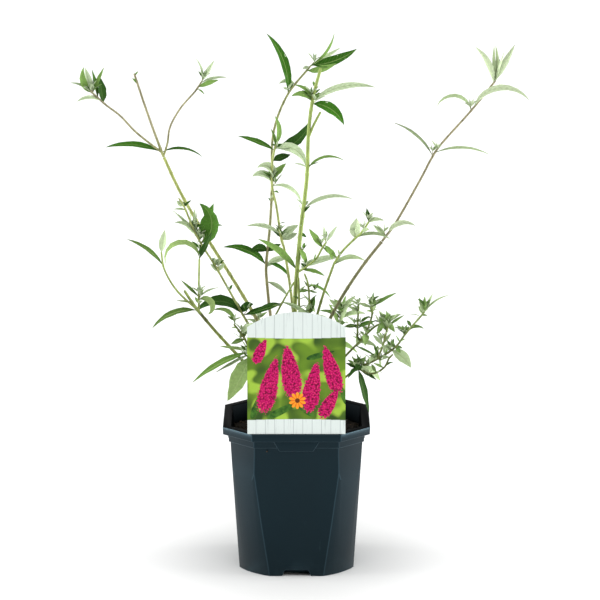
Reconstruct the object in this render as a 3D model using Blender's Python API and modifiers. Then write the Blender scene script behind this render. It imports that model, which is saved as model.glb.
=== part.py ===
"""Potted butterfly bush: a young shrub of arching canes in a square-topped nursery pot, with a picture card.

The pot stands on the ground plane with its middle on the Z axis and its front face towards -Y.
Tables are in millimetres and degrees. A bearing is seen from above: 0 is to the right (+X), 90 is
to the back (+Y), 180 is to the left and 270 is to the front. Blender's own units are metres.
"""

import math
import random
from collections import namedtuple

import bmesh
import bpy
from mathutils import Matrix, Vector
from mathutils.bvhtree import BVHTree

MM = 0.001
GAP = 0.3  # between neighbouring pieces
FAR = 400.0  # longer than any cut has to be
OVERRUN = 1.0  # how far a cutter runs past the face that it cuts through
CAP_WELD = 0.000001  # in metres: how near a curve's cap lies to its sides

# The pot: a round cone, cut flat on four sides and again across the corners
POT_HEIGHT = 154.0
WALL = 1.6
CONE_FOOT_RADIUS = 64.9
CONE_SLOPE = 0.122
FLAT_FOOT = 58.7  # from the axis to a flat side, at the foot
FLAT_SLOPE = 0.0616
CORNER_FOOT = 73.4  # from the axis to a corner facet, at the foot
CORNER_SLOPE = 0.03
CONE_SEGMENTS = 72

# The rim: a lip with cut corners, turned down over a channel, above a collar with four lugs
RIM_HALF_WIDTH = 75.0
RIM_CORNER = 84.9  # from the axis to a cut corner of the lip
LIP_DEPTH = 8.0
LIP_SKIN = 1.8
LIP_TAPER = 0.4  # the lip's foot stands this much further in than its top
COLLAR_LOW = 138.0
COLLAR_STEP = 1.5
LUG_TOP_WIDTH = 47.0
LUG_FOOT_WIDTH = 34.0
LUG_LOW = 134.8
LUG_STANDS_OUT = 2.4

# The foot: a raised floor with drain holes, a middle pad that reaches the ground, and four notches
FLOOR_LOW = 6.6
FLOOR_SKIN = 2.0
PAD_RADIUS = 12.0
PAD_SIDES = 24
NOTCH_HEIGHT = 6.4
NOTCH_TOP_WIDTH = 24.0
NOTCH_FOOT_WIDTH = 30.0
FOOT_SKIRT = 2.2  # how thick the wall is below the floor
DRAIN_HOLES = 8
DRAIN_RADIUS = 4.0
DRAIN_CIRCLE = 40.0
DRAIN_SIDES = 12

COMPOST_TOP = 136.0
SLOT_ROOM = 1.0  # beside the card's tongue, in the compost
SLOT_DEPTH = 21.0

# The card stands on the front of the rim, with a tongue down inside the wall
CARD_WIDTH = 98.5
CARD_THICK = 0.8
CARD_FRONT = -73.5
CARD_SHOULDER = 264.5
CARD_TOP = 280.0
ARCH_STEPS = 14
TONGUE_WIDTH = 24.0
TONGUE_THICK = 1.2
TONGUE_LOW = 104.0
TONGUE_STEP = 157.5  # where it steps back over the rim
TONGUE_HIGH = 176.0

# The woody foot that every cane springs from
FOOT_CENTRE = (0.0, 5.0)
FOOT_PROFILE = ((13.0, 0.0), (10.6, 4.0), (9.4, 12.0), (8.8, 22.0), (8.2, 28.0), (6.4, 30.0))
FOOT_SIDES = 16
SCREW_MERGE = 0.00001  # in metres

# Each cane: where it leaves the foot, its tip, how far its middle stands off the line between
# them, its thickness at the foot and at the tip, and how far it sways off that bow, out and back
Cane = namedtuple("Cane", "foot tip bow thick thin sway", defaults=((0, 0, 0),))
CANES = {
    "cane_left_tall": Cane((-6, 3, 158), (-135.5, 38, 417), (9, 0, 0), 3.8, 3.2, (6, 0, 0)),
    "cane_left_thin": Cane((-6, 1, 153), (-52, -9, 258), (3, 0, 2), 2.4, 2.2),
    "cane_left_low": Cane((-6, -1, 146), (-96, -51, 273), (4, 2, 0), 3.6, 3.2, (2, 0, 0)),
    "cane_left_short": Cane((-3, -3, 150), (-44, -46, 228), (2, -5, 4), 2.4, 2.0),
    "cane_brown": Cane((-4, 12, 160), (-30, 19, 286), (-4, 0, 0), 3.5, 3.2),
    "cane_olive": Cane((0, 7, 164), (-12, 2, 326), (4, 0, 0), 3.0, 2.8),
    "cane_main": Cane((1, 1, 164), (0, -11, 300), (-3, -1, 0), 5.0, 4.6),
    "cane_centre_short": Cane((2, -2, 156), (10, -30, 250), (1, -3, 0), 2.4, 2.0),
    "cane_right_middle": Cane((6, 0, 153), (36.5, -37, 318), (-7, -2, 0), 3.0, 2.6),
    "cane_right_tall": Cane((6, 6, 158), (87.5, 33, 330), (-16, 0, 0), 3.8, 3.2),
    "cane_right_low": Cane((6, 0, 143), (60, -33, 211), (-2, 0, 4), 2.4, 2.0),
    "cane_right_short": Cane((6, 3, 148), (59, -21, 232), (-3, 4, 2), 2.4, 2.0),
    "cane_back_left": Cane((-3, 9, 146), (-26, 58, 206), (0, 2, 5), 2.4, 2.0),
    "cane_back_right": Cane((3, 9, 148), (30, 66, 212), (0, 2, 5), 2.4, 2.0),
}
CANE_STEPS = 8
SWAY_SCALE = 2.6  # brings the largest sway to its stated size

# A leaf: how far along its stem it sits (a share), its bearing, the angle it rises at, how far it
# bends over by its tip, its length and width, and how far its upper face turns to the front (below
# 0 to the back, so that its paler underside shows)
Leaf = namedtuple("Leaf", "at bearing rise droop length width face")
# A shoot: where it leaves its parent (a share), the points it grows through, its thickness at both
# ends, its leaves, its own side shoots, and the young leaves at its tip as (pairs, length, width)
Shoot = namedtuple("Shoot", "at route thick thin leaves shoots tuft", defaults=((), (), None))

FOLIAGE = {
    "foliage_left_tall": ("cane_left_tall", Shoot(
        0, [(-151.5, 46, 459), (-166, 55, 501)], 3.0, 2.4,
        leaves=[
            Leaf(0.06, 180, 26, 43, 60, 8, 37),
            Leaf(0.06, 5, 26, 68, 45, 4, 36),
            Leaf(0.88, 200, 55, 20, 8, 3, 68),
            Leaf(0.97, 20, 60, 20, 6, 3, 20),
        ],
        shoots=[
            Shoot(0.06, [(-149, 37, 431), (-165, 34, 445), (-179, 30, 461), (-194, 24, 474), (-209, 18, 489)],
                  2.0, 1.4,
                  leaves=[
                      Leaf(0.80, 178, 81, 0, 28, 10, 48),
                      Leaf(0.88, 165, 78, 0, 30, 6, 20),
                      Leaf(0.96, 10, 65, 0, 29, 5, 41),
                      Leaf(0.97, 172, 76, 2, 26, 7, -88),
                      Leaf(0.96, 184, 28, -90, 31, 8, 57),
                      Leaf(0.92, 192, 53, 49, 30, 4, 50),
                      Leaf(0.82, 205, 40, 74, 30, 5, 44),
                  ]),
            Shoot(0.01, [(-132, 41, 431), (-129, 45, 448), (-118.5, 51, 466), (-104, 57, 482), (-97, 61, 492)],
                  1.8, 1.3,
                  leaves=[
                      Leaf(1.00, 175, 101, 51, 25, 3, 41),
                      Leaf(1.00, -10, 59, 0, 26, 5, 71),
                      Leaf(0.98, 10, 26, 32, 28, 4, 39),
                      Leaf(0.92, -8, 21, 2, 23, 6, 52),
                      Leaf(0.90, -35, -28, 5, 11, 4, -3),
                  ]),
        ])),
    "foliage_left_middle": ("cane_left_thin", Shoot(
        0, [(-80, -20, 312), (-95, -25, 338), (-103, -28, 354), (-113, -32, 380), (-118, -34, 388)], 2.2, 1.2,
        leaves=[
            Leaf(0.03, 184, 62, 112, 56, 14, 38),
            Leaf(0.05, 0, 72, 70, 16, 11, 35),
            Leaf(0.03, -8, 18, 0, 42, 8, 40),
            Leaf(0.44, 172, 73, 5, 10, 6, 34),
            Leaf(0.40, 200, 48, 10, 12, 6, 61),
            Leaf(0.40, 0, 58, 10, 11, 5, -70),
            Leaf(0.70, 176, 50, 0, 29, 5, -81),
            Leaf(0.70, 190, 71, 77, 29, 6, 49),
            Leaf(0.74, 168, 43, 2, 31, 3, 19),
            Leaf(0.64, -8, 30, -124, 50, 17, 76),
            Leaf(0.66, 14, 72, 82, 31, 7, 27),
            Leaf(0.62, 190, -80, 0, 12, 6, 39),
            Leaf(0.67, 0, 68, 5, 20, 9, -67),
            Leaf(0.72, 120, 88, 5, 25, 5, 60),
            Leaf(0.80, 250, 76, 10, 17, 5, 58),
            Leaf(0.90, 185, 20, 30, 12, 3, 39),
            Leaf(0.66, 6, 66, -6, 41, 13, -60),
            Leaf(0.72, 60, 80, -5, 22, 5, -58),
            Leaf(0.93, 184, 35, 0, 9, 7, -70),
        ])),
    "foliage_left_low": ("cane_left_low", Shoot(
        0, [(-104, -55, 285), (-112, -60, 299)], 3.4, 2.8,
        leaves=[
            Leaf(0.16, 178, 7, 60, 53, 8, 36),
            Leaf(0.50, 190, 9, 0, 16, 3, 33),
        ],
        shoots=[
            Shoot(0.16, [(-119, -62, 299), (-131, -70, 322), (-134, -76, 342)], 1.8, 1.2,
                  leaves=[
                      Leaf(0.79, 178, 57, 41, 47, 6, 33),
                      Leaf(0.98, 4, 81, 0, 24, 8, -68),
                  ]),
            Shoot(0.10, [(-98, -47, 300), (-97.5, -38, 327)], 1.8, 1.3,
                  leaves=[
                      Leaf(0.99, 180, 90, 200, 60, 7, 38),
                      Leaf(1.00, 5, 63, -3, 31, 7, 44),
                      Leaf(0.28, 182, 44, 0, 25, 4, 41),
                      Leaf(0.26, 6, 48, 43, 23, 3, 28),
                      Leaf(0.22, -10, 38, 192, 29, 7, -88),
                  ]),
        ])),
    "foliage_left_foot": ("cane_left_short", Shoot(
        0, [(-51, -46, 244), (-57, -48, 254), (-63, -49, 262)], 2.0, 1.4,
        leaves=[
            Leaf(0.96, 182, 94, 116, 32, 6, 37),
            Leaf(0.54, 10, 79, 2, 11, 6, 35),
            Leaf(0.50, 176, -20, 0, 15, 7, 38),
            Leaf(0.18, 174, 8, 2, 31, 5, 27),
            Leaf(0.15, 188, -14, 27, 67, 9, 29),
            Leaf(0.10, 190, -27, 0, 41, 5, 23),
            Leaf(0.06, 195, -64, -12, 53, 21, -88),
            Leaf(0.70, -10, 44, 20, 20, 7, 48),
            Leaf(0.10, 285, 5, 40, 26, 8, 10),
        ],
        shoots=[
            Shoot(0.04, [(-24, -40, 264), (-12, -38, 286), (-2, -36, 303)], 1.7, 1.2,
                  leaves=[
                      Leaf(0.70, 176, 4, 51, 32, 4, 34),
                  ]),
        ])),
    "foliage_brown": ("cane_brown", Shoot(
        0, [(-31, 22, 308), (-27, 32, 350), (-25, 42, 390), (-24, 51, 438), (-10, 58, 477), (15, 65, 508)],
        3.2, 1.8,
        leaves=[
            Leaf(0.02, 0, -14, 45, 28, 5, -80),
            Leaf(0.09, 180, 54, 62, 51, 10, 36),
            Leaf(0.15, 200, 46, 83, 20, 9, -82),
            Leaf(0.15, 8, 28, 0, 16, 8, 33),
            Leaf(0.08, 0, 55, 70, 28, 7, -82),
            Leaf(0.10, -12, 0, 62, 30, 6, 25),
            Leaf(0.36, 88, 25, 70, 26, 7, 0),
            Leaf(0.84, 180, 95, 49, 69, 10, 56),
            Leaf(0.89, 180, 49, 92, 18, 5, -76),
            Leaf(0.99, 200, -6, 10, 8, 5, 35),
            Leaf(1.00, 5, 26, -57, 43, 4, 38),
            Leaf(0.99, 18, 29, 1, 39, 5, -88),
            Leaf(1.00, -10, 3, -36, 52, 12, 53),
            Leaf(0.97, -16, -2, -35, 34, 8, 54),
        ])),
    "foliage_olive": ("cane_olive", Shoot(
        0, [(-16, 0, 343), (-20, -3, 372), (-25, -6, 398), (-24, -8, 422), (-21, -10, 438)], 2.7, 1.8,
        leaves=[
            Leaf(0.16, 180, 44, 60, 38, 5, -78),
            Leaf(0.13, 165, 46, 5, 16, 6, 20),
            Leaf(0.14, 0, 35, 0, 22, 10, 42),
            Leaf(0.11, -20, 26, 0, 19, 8, -65),
            Leaf(0.67, 180, 127, 171, 29, 10, 45),
            Leaf(0.65, 190, 76, 114, 25, 9, 46),
            Leaf(0.68, 12, 47, 0, 22, 10, 29),
            Leaf(0.62, -5, 16, 97, 40, 6, 31),
            Leaf(0.95, 178, 31, 20, 40, 7, 38),
            Leaf(0.85, 18, 16, 0, 20, 10, 33),
            Leaf(0.96, -10, 30, 114, 42, 10, -86),
            Leaf(0.97, 16, -6, -84, 50, 15, 28),
            Leaf(1.00, 176, 117, 57, 31, 6, 51),
            Leaf(0.99, 175, 88, 24, 18, 4, 41),
        ])),
    "foliage_main": ("cane_main", Shoot(
        0, [(4, -18, 349), (9, -24, 392), (11, -28, 416), (12, -34, 452), (16, -40, 488), (24, -46, 521)],
        4.6, 3.2,
        leaves=[
            Leaf(0.04, 182, 56, 33, 53, 9, 42),
            Leaf(0.15, -15, -62, 5, 20, 8, 22),
            Leaf(0.22, 20, -35, 0, 8, 4, 62),
            Leaf(0.33, 0, 46, 68, 55, 6, 34),
            Leaf(0.52, 0, 62, 96, 43, 4, 35),
            Leaf(0.84, 12, 39, 57, 69, 7, -84),
            Leaf(0.83, -12, 4, 72, 41, 12, 46),
            Leaf(0.85, 178, 72, 68, 25, 5, 40),
            Leaf(0.84, 195, 62, 92, 25, 7, 51),
        ],
        shoots=[
            Shoot(0.67, [(17, -36, 462), (24, -38, 476)], 2.8, 2.4),
            Shoot(0.03, [(10, -20, 315), (20, -32, 326), (26, -42, 339), (30, -48, 346)], 1.8, 1.2,
                  leaves=[
                      Leaf(0.84, 180, 50, -10, 24, 8, 43),
                      Leaf(0.84, 5, -22, 30, 18, 7, 46),
                      Leaf(0.22, 4, 35, 40, 38, 7, -85),
                      Leaf(0.12, -20, 4, 30, 26, 6, 26),
                      Leaf(1.00, 0, 57, 0, 20, 5, 43),
                      Leaf(0.98, 120, 80, 8, 17, 4, 58),
                      Leaf(0.92, -10, -43, 40, 18, 6, 32),
                  ]),
        ])),
    "foliage_centre_foot": ("cane_centre_short", Shoot(
        0, [(13, -31, 268), (13, -30, 284), (11.5, -30, 300), (8, -30, 310)], 1.9, 1.3,
        leaves=[
            Leaf(0.80, 0, -4, 58, 29, 4, 36),
            Leaf(0.30, 8, 72, 0, 19, 10, 36),
            Leaf(0.22, 176, 45, 10, 14, 7, 32),
            Leaf(0.70, 184, 0, 20, 10, 5, 30),
            Leaf(0.30, 205, 40, 70, 16, 6, 37),
            Leaf(0.70, 20, -30, -32, 10, 3, 38),
            Leaf(0.50, -20, -60, 0, 12, 6, 12),
            Leaf(0.20, -20, 30, 50, 24, 6, -80),
            Leaf(0.25, 190, 50, 40, 34, 5, -67),
        ],
        shoots=[
            Shoot(0.03, [(3.5, -26, 269), (2.5, -28, 293), (2, -30, 306)], 2.6, 2.0),
        ])),
    "foliage_right_middle": ("cane_right_middle", Shoot(
        0, [(46, -45, 336), (56, -52, 348), (65, -58, 358), (72, -64, 370)], 2.4, 1.5,
        leaves=[
            Leaf(0.02, 0, 49, 82, 36, 7, 33),
            Leaf(0.62, 20, 85, 0, 21, 12, -88),
            Leaf(0.63, -4, 33, 69, 38, 5, 34),
            Leaf(0.78, -60, 35, 30, 16, 5, 77),
            Leaf(1.00, 178, 80, 0, 14, 5, 55),
            Leaf(1.00, 0, 41, 10, 8, 4, -73),
            Leaf(0.97, -20, 42, 60, 18, 5, 40),
        ])),
    "foliage_right_tall": ("cane_right_tall", Shoot(
        0, [(103, 40, 350), (127, 54, 390), (139, 60, 412), (150, 66, 427), (180, 76, 459), (206, 88, 489)],
        2.8, 1.8,
        leaves=[
            Leaf(0.03, 178, 44, 0, 18, 6, 42),
            Leaf(0.05, -5, 68, 103, 34, 6, -77),
            Leaf(0.50, 178, 63, 46, 56, 4, 41),
            Leaf(0.52, 2, 23, 52, 60, 4, 36),
            Leaf(0.80, 180, 81, 149, 48, 5, 42),
            Leaf(0.82, -4, 69, 123, 71, 7, -74),
            Leaf(0.98, 178, 87, 48, 44, 7, -65),
            Leaf(0.99, 100, 84, 0, 38, 5, 56),
            Leaf(0.99, 0, 72, -35, 39, 5, 51),
            Leaf(1.00, -10, 80, 0, 23, 3, 65),
            Leaf(1.00, -30, 73, 0, 32, 4, -10),
            Leaf(1.00, 8, 62, 0, 42, 7, -88),
        ])),
    "foliage_right_low": ("cane_right_low", Shoot(
        0, [(84, -44, 226), (100, -54, 240), (110, -62, 256), (128, -72, 280)], 2.0, 1.2,
        leaves=[
            Leaf(0.03, -10, -77, -2, 48, 9, 34),
            Leaf(0.02, 176, 25, 0, 13, 6, 27),
            Leaf(0.03, 170, 62, 0, 14, 4, 27),
            Leaf(0.04, 30, 80, 0, 13, 4, -10),
            Leaf(0.10, 5, -35, 20, 24, 8, 47),
            Leaf(0.03, -20, -29, 0, 23, 7, 16),
            Leaf(0.06, 200, -20, 40, 18, 7, 11),
            Leaf(0.08, 255, 20, 40, 24, 9, 10),
            Leaf(0.16, 60, 20, 40, 30, 8, 0),
            Leaf(0.24, 250, 30, 50, 22, 7, 10),
            Leaf(0.44, -15, -18, 43, 27, 12, -88),
            Leaf(0.44, 200, 40, 30, 12, 6, 52),
            Leaf(0.27, 0, -60, 40, 10, 3, 53),
            Leaf(0.50, 176, 50, 0, 8, 4, 35),
            Leaf(0.50, 185, 10, 0, 8, 4, 32),
            Leaf(0.51, 0, -15, 0, 7, 4, 31),
            Leaf(0.50, 0, -50, 0, 8, 6, 41),
            Leaf(0.66, 10, 78, 5, 12, 6, 24),
            Leaf(0.72, -5, 58, 95, 19, 5, 32),
            Leaf(0.68, 180, 40, 5, 10, 4, 10),
            Leaf(0.98, 178, 74, 0, 17, 5, 53),
            Leaf(1.00, 0, 90, 0, 16, 5, 54),
            Leaf(1.00, 12, 66, 0, 20, 5, 22),
            Leaf(0.97, 200, 60, 0, 10, 4, 84),
            Leaf(0.95, 0, 0, 0, 6, 3, 30),
            Leaf(1.00, 0, 57, 43, 30, 3, 31),
        ],
        shoots=[
            Shoot(0.26, [(87, -52, 241), (92, -52, 261)], 1.7, 1.2,
                  leaves=[
                      Leaf(1.00, 0, 34, 0, 20, 4, 32),
                      Leaf(0.86, 178, 63, 0, 17, 6, 46),
                      Leaf(1.00, 178, 84, 0, 16, 5, 56),
                      Leaf(0.48, 195, 48, 0, 16, 5, -53),
                      Leaf(0.52, 4, 53, 0, 14, 5, 34),
                      Leaf(0.10, 176, 66, 0, 13, 5, 43),
                  ]),
            Shoot(0.02, [(76, -50, 211), (88, -54, 218), (93, -56, 228), (97, -58, 233)], 1.4, 1.1),
        ])),
    "foliage_right_foot": ("cane_right_short", Shoot(
        0, [(68, -26, 243), (80, -32, 256), (91, -40, 262)], 2.0, 1.4,
        leaves=[
            Leaf(0.14, -20, 10, 40, 20, 7, 22),
            Leaf(0.12, 0, 8, 0, 13, 3, 28),
            Leaf(0.03, -20, -22, 0, 24, 4, 15),
            Leaf(0.40, 265, 0, 40, 22, 7, 10),
            Leaf(0.95, -4, 32, 5, 19, 6, 36),
            Leaf(0.95, 170, 66, 5, 14, 6, 34),
            Leaf(0.90, 240, -20, 30, 16, 6, 54),
            Leaf(0.98, -50, -10, 40, 16, 6, 54),
        ],
        shoots=[
            Shoot(0.10, [(62, -26, 256), (63, -27, 276)], 1.6, 1.2,
                  leaves=[
                      Leaf(0.47, -10, 18, 0, 19, 6, 39),
                      Leaf(0.47, 172, -3, 0, 14, 6, 34),
                      Leaf(0.85, 190, 29, 0, 12, 5, 44),
                      Leaf(1.00, 178, 50, 40, 12, 3, 40),
                  ]),
            Shoot(0.36, [(76, -34, 266), (76, -38, 278)], 1.6, 1.2,
                  leaves=[
                      Leaf(0.95, 176, 18, 0, 16, 5, 30),
                      Leaf(0.97, 0, 36, 11, 30, 5, 35),
                      Leaf(1.00, -60, 86, 0, 11, 9, -60),
                      Leaf(0.80, -20, 73, 0, 11, 9, -32),
                  ],
                  tuft=(1, 12, 5)),
        ],
        tuft=(2, 13, 6))),
    "foliage_back_left": ("cane_back_left", Shoot(
        0, [(-36, 74, 222), (-40, 86, 238)], 2.0, 1.2,
        leaves=[
            Leaf(0.10, 190, 10, 50, 20, 9, 23),
            Leaf(0.10, 20, 20, 50, 24, 8, 10),
            Leaf(0.45, 110, 30, 60, 36, 8, 0),
            Leaf(0.45, 290, 40, 50, 26, 7, 0),
            Leaf(0.75, 160, 50, 50, 18, 7, 12),
            Leaf(0.75, 20, 40, 50, 22, 7, 18),
        ],
        tuft=(2, 13, 6))),
    "foliage_back_right": ("cane_back_right", Shoot(
        0, [(43, 82, 226), (49, 96, 246)], 2.0, 1.2,
        leaves=[
            Leaf(0.10, 160, 20, 50, 30, 9, 10),
            Leaf(0.10, -20, 10, 50, 36, 9, 17),
            Leaf(0.45, 70, 30, 60, 38, 8, 0),
            Leaf(0.45, 250, 40, 50, 26, 7, 0),
            Leaf(0.75, 160, 40, 50, 26, 7, 18),
            Leaf(0.75, -20, 40, 50, 30, 7, 38),
            Leaf(0.90, 178, 55, 20, 20, 6, -76),
            Leaf(0.92, 4, 60, 20, 22, 6, -80),
            Leaf(0.60, 182, 70, 10, 26, 5, -62),
            Leaf(0.60, -6, 70, 10, 24, 5, 54),
        ],
        tuft=(3, 18, 6))),
}

# How a leaf is shaped: where its sections stand and how wide each is, as shares of its own size
LONG_LEAF = ((0.0, 0.0), (0.24, 0.43), (0.50, 0.50), (0.78, 0.30))
SHORT_LEAF = ((0.0, 0.0), (0.36, 0.48), (0.70, 0.36))
LONG_LEAF_FROM = 30.0
LEAF_THICK_SHARE = 0.014
LEAF_THICK_LEAST = 0.5
STALK_HALF_WIDTH = 0.6
STALK_THICK = 0.9
LEAF_FOLD = 0.28  # how far the edges stand above the midrib, as a share of half the width
LEAST_BEND = 0.02  # in radians: a leaf that bends less counts as straight
CLEAR_OF_LEAF = 0.5  # room kept round a leaf, each way
NUDGES = (0, 8, -8, 16, -16, 26, -26, 38, -38)

# A tuft of young leaves: how each pair follows the one below it
TUFT_SPACING = 0.035  # a share of the shoot
TUFT_LOWEST_RISE = 30
TUFT_RISE_STEP = 22
TUFT_SHRINK = 0.16
TUFT_MOST_DROOP = 35
TUFT_MOST_FACE = 25
TUFT_STRAY = 14  # in bearing
TUFT_RISE_STRAY = 8
TUFT_LENGTHS = (0.85, 1.15)

STEM_STEPS = 3  # lengths of stem between two points of a route
STEM_LEAD_IN = 4.0  # how far a mass's stem runs on in line with its cane
TWIG_CORNER = 0.62  # from a twig's middle to a corner of its three-sided section, as a share of its thickness

COLOURS = {
    "pot": ((0.012, 0.020, 0.024), 0.45),
    "compost": ((0.020, 0.013, 0.009), 0.95),
    "label_card": ((0.75, 0.78, 0.76), 0.35),
    "stem_foot": ((0.18, 0.13, 0.08), 0.85),
    "cane": ((0.25, 0.27, 0.10), 0.65),
    "foliage": ((0.07, 0.20, 0.04), 0.60),
}


def clear_scene():
    for old in list(bpy.data.objects):
        bpy.data.objects.remove(old)


def new_collection(name, shown):
    made = bpy.data.collections.new(name)
    bpy.context.scene.collection.children.link(made)
    made.hide_render = not shown
    return made


def material(name):
    colour, roughness = next(c for key, c in COLOURS.items() if name.startswith(key))
    made = bpy.data.materials.new(name)
    made.use_nodes = True
    shader = made.node_tree.nodes["Principled BSDF"]
    shader.inputs["Base Color"].default_value = (*colour, 1.0)
    shader.inputs["Roughness"].default_value = roughness
    return made


def object_from(bm, name, collection):
    """A new object whose mesh is the given bmesh, with its faces turned outwards."""
    bmesh.ops.recalc_face_normals(bm, faces=bm.faces)
    mesh = bpy.data.meshes.new(name)
    bm.to_mesh(mesh)
    bm.free()
    made = bpy.data.objects.new(name, mesh)
    collection.objects.link(made)
    return made


def as_mesh(obj, name, collection, weld=0.0):
    """The evaluated shape of an object as a plain mesh object in its place. The first object goes.
    The caps of a curve are loose, so they are welded to its sides."""
    bpy.context.view_layer.update()
    graph = bpy.context.evaluated_depsgraph_get()
    mesh = bpy.data.meshes.new_from_object(obj.evaluated_get(graph))
    place = obj.matrix_world.copy()
    bpy.data.objects.remove(obj)
    bm = bmesh.new()
    bm.from_mesh(mesh)
    bpy.data.meshes.remove(mesh)
    if weld:
        bmesh.ops.remove_doubles(bm, verts=bm.verts, dist=weld)
    bm.transform(place)
    return object_from(bm, name, collection)


def boolean(target, operation, other, solver="EXACT"):
    """Cuts, joins or trims the target by an object or by a collection."""
    step = target.modifiers.new(operation.title(), "BOOLEAN")
    step.operation = operation
    step.solver = solver
    if isinstance(other, bpy.types.Collection):
        step.operand_type = "COLLECTION"
        step.collection = other
    else:
        step.object = other


def finished(target, name, collection, helpers):
    """The target with its Booleans done, as a plain mesh. The helpers that cut it are removed."""
    made = as_mesh(target, name, collection)
    for helper in helpers:
        bpy.data.objects.remove(helper)
    return made


def frustum(name, collection, sides, turn, low, high, low_radius, high_radius):
    """A cone stump with the given number of sides, from one height to another."""
    bm = bmesh.new()
    bmesh.ops.create_cone(
        bm,
        cap_ends=True,
        segments=sides,
        radius1=low_radius * MM,
        radius2=high_radius * MM,
        depth=(high - low) * MM,
        matrix=Matrix.Rotation(turn, 4, "Z"),
    )
    bmesh.ops.translate(bm, verts=bm.verts, vec=(0, 0, (low + high) / 2 * MM))
    return object_from(bm, name, collection)


def cut_cone(name, collection, low, high, sizes):
    """A round cone, cut flat on four sides and across its corners. Each size is given at both heights."""
    cone, flat, corner = sizes
    corner_reach = math.sqrt(2.0)  # a four-sided cone's radius is to its corners, not to its sides
    body = frustum(name, collection, CONE_SEGMENTS, 0.0, low, high, *cone)
    ends = (low - OVERRUN, high + OVERRUN)
    square = frustum("square", collection, 4, math.pi / 4, *ends, *(f * corner_reach for f in flat))
    across = frustum("across", collection, 4, 0.0, *ends, *(c * corner_reach for c in corner))
    boolean(body, "INTERSECT", square)
    boolean(body, "INTERSECT", across)
    return finished(body, name, collection, [square, across])


def pot_form(name, collection, low, high, inset):
    """The pot's outer form between two heights, with its sides drawn in by an inset."""

    def at(foot, slope):
        return tuple(foot + slope * z - inset for z in (low, high))

    sizes = (at(CONE_FOOT_RADIUS, CONE_SLOPE), at(FLAT_FOOT, FLAT_SLOPE), at(CORNER_FOOT, CORNER_SLOPE))
    return cut_cone(name, collection, low, high, sizes)


def trapezoid(name, collection, low, high, low_width, high_width, near, far, turn):
    """A block whose front outline is a trapezoid, standing from near to far of the axis, turned about it."""
    outline = [(-low_width / 2, low), (low_width / 2, low), (high_width / 2, high), (-high_width / 2, high)]
    bm = bmesh.new()
    front = [bm.verts.new(Vector((x, -near, z)) * MM) for x, z in outline]
    face = bm.faces.new(front)
    grown = bmesh.ops.extrude_face_region(bm, geom=[face])
    moved = [v for v in grown["geom"] if isinstance(v, bmesh.types.BMVert)]
    bmesh.ops.translate(bm, verts=moved, vec=(0, -(far - near) * MM, 0))
    bm.transform(Matrix.Rotation(turn, 4, "Z"))
    return object_from(bm, name, collection)


def quarter_turns():
    return [quarter * math.pi / 2 for quarter in range(4)]


def make_pot(parts, cutters):
    """The moulded pot in one piece: wall, collar, lip, lugs, floor and foot."""
    body = pot_form("pot", cutters, 0.0, POT_HEIGHT, 0.0)
    collar = pot_form("collar", cutters, COLLAR_LOW, POT_HEIGHT, -COLLAR_STEP)
    lip_low = POT_HEIGHT - LIP_DEPTH
    lip_sizes = (
        (FAR, FAR),
        (RIM_HALF_WIDTH - LIP_TAPER, RIM_HALF_WIDTH),
        (RIM_CORNER - LIP_TAPER, RIM_CORNER),
    )
    lip = cut_cone("lip", cutters, lip_low, POT_HEIGHT, lip_sizes)
    channel_sizes = (
        (FAR, FAR),
        (RIM_HALF_WIDTH - LIP_SKIN - LIP_TAPER,) * 2,
        (RIM_CORNER - LIP_SKIN - LIP_TAPER,) * 2,
    )
    channel = cut_cone("channel", cutters, lip_low - OVERRUN, POT_HEIGHT - LIP_SKIN, channel_sizes)
    channel_core = pot_form("channel_core", cutters, lip_low - 2 * OVERRUN, POT_HEIGHT, -COLLAR_STEP)
    boolean(channel, "DIFFERENCE", channel_core)
    boolean(lip, "DIFFERENCE", channel)
    lugs = [
        trapezoid(
            "lug", cutters, LUG_LOW, lip_low, LUG_FOOT_WIDTH, LUG_TOP_WIDTH,
            FLAT_FOOT, FLAT_FOOT + FLAT_SLOPE * lip_low + LUG_STANDS_OUT, turn,
        )
        for turn in quarter_turns()
    ]
    for piece in [collar, lip, *lugs]:
        boolean(body, "UNION", piece)

    floor_top = FLOOR_LOW + FLOOR_SKIN
    inside = pot_form("inside", cutters, floor_top, POT_HEIGHT + OVERRUN, WALL)
    under = pot_form("under", cutters, -OVERRUN, FLOOR_LOW, FOOT_SKIRT)
    pad_ends = (-2 * OVERRUN, FLOOR_LOW + OVERRUN)
    pad = frustum("pad", cutters, PAD_SIDES, 0.0, *pad_ends, PAD_RADIUS, PAD_RADIUS)
    boolean(under, "DIFFERENCE", pad)
    notches = [
        trapezoid(
            "notch", cutters, -OVERRUN, NOTCH_HEIGHT, NOTCH_FOOT_WIDTH, NOTCH_TOP_WIDTH,
            FLAT_FOOT - FOOT_SKIRT - OVERRUN, FLAT_FOOT + FOOT_SKIRT + OVERRUN, turn,
        )
        for turn in quarter_turns()
    ]
    drains = []
    for hole in range(DRAIN_HOLES):
        angle = (hole + 0.5) * 2 * math.pi / DRAIN_HOLES
        ends = (FLOOR_LOW - OVERRUN, floor_top + OVERRUN)
        drain = frustum("drain", cutters, DRAIN_SIDES, 0.0, *ends, DRAIN_RADIUS, DRAIN_RADIUS)
        drain.location = Vector((math.cos(angle), math.sin(angle), 0)) * DRAIN_CIRCLE * MM
        drains.append(drain)
    for cutter in [inside, under, *notches, *drains]:
        boolean(body, "DIFFERENCE", cutter)
    helpers = [collar, lip, channel, channel_core, *lugs, inside, under, pad, *notches, *drains]
    return finished(body, "pot", parts, helpers)


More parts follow.
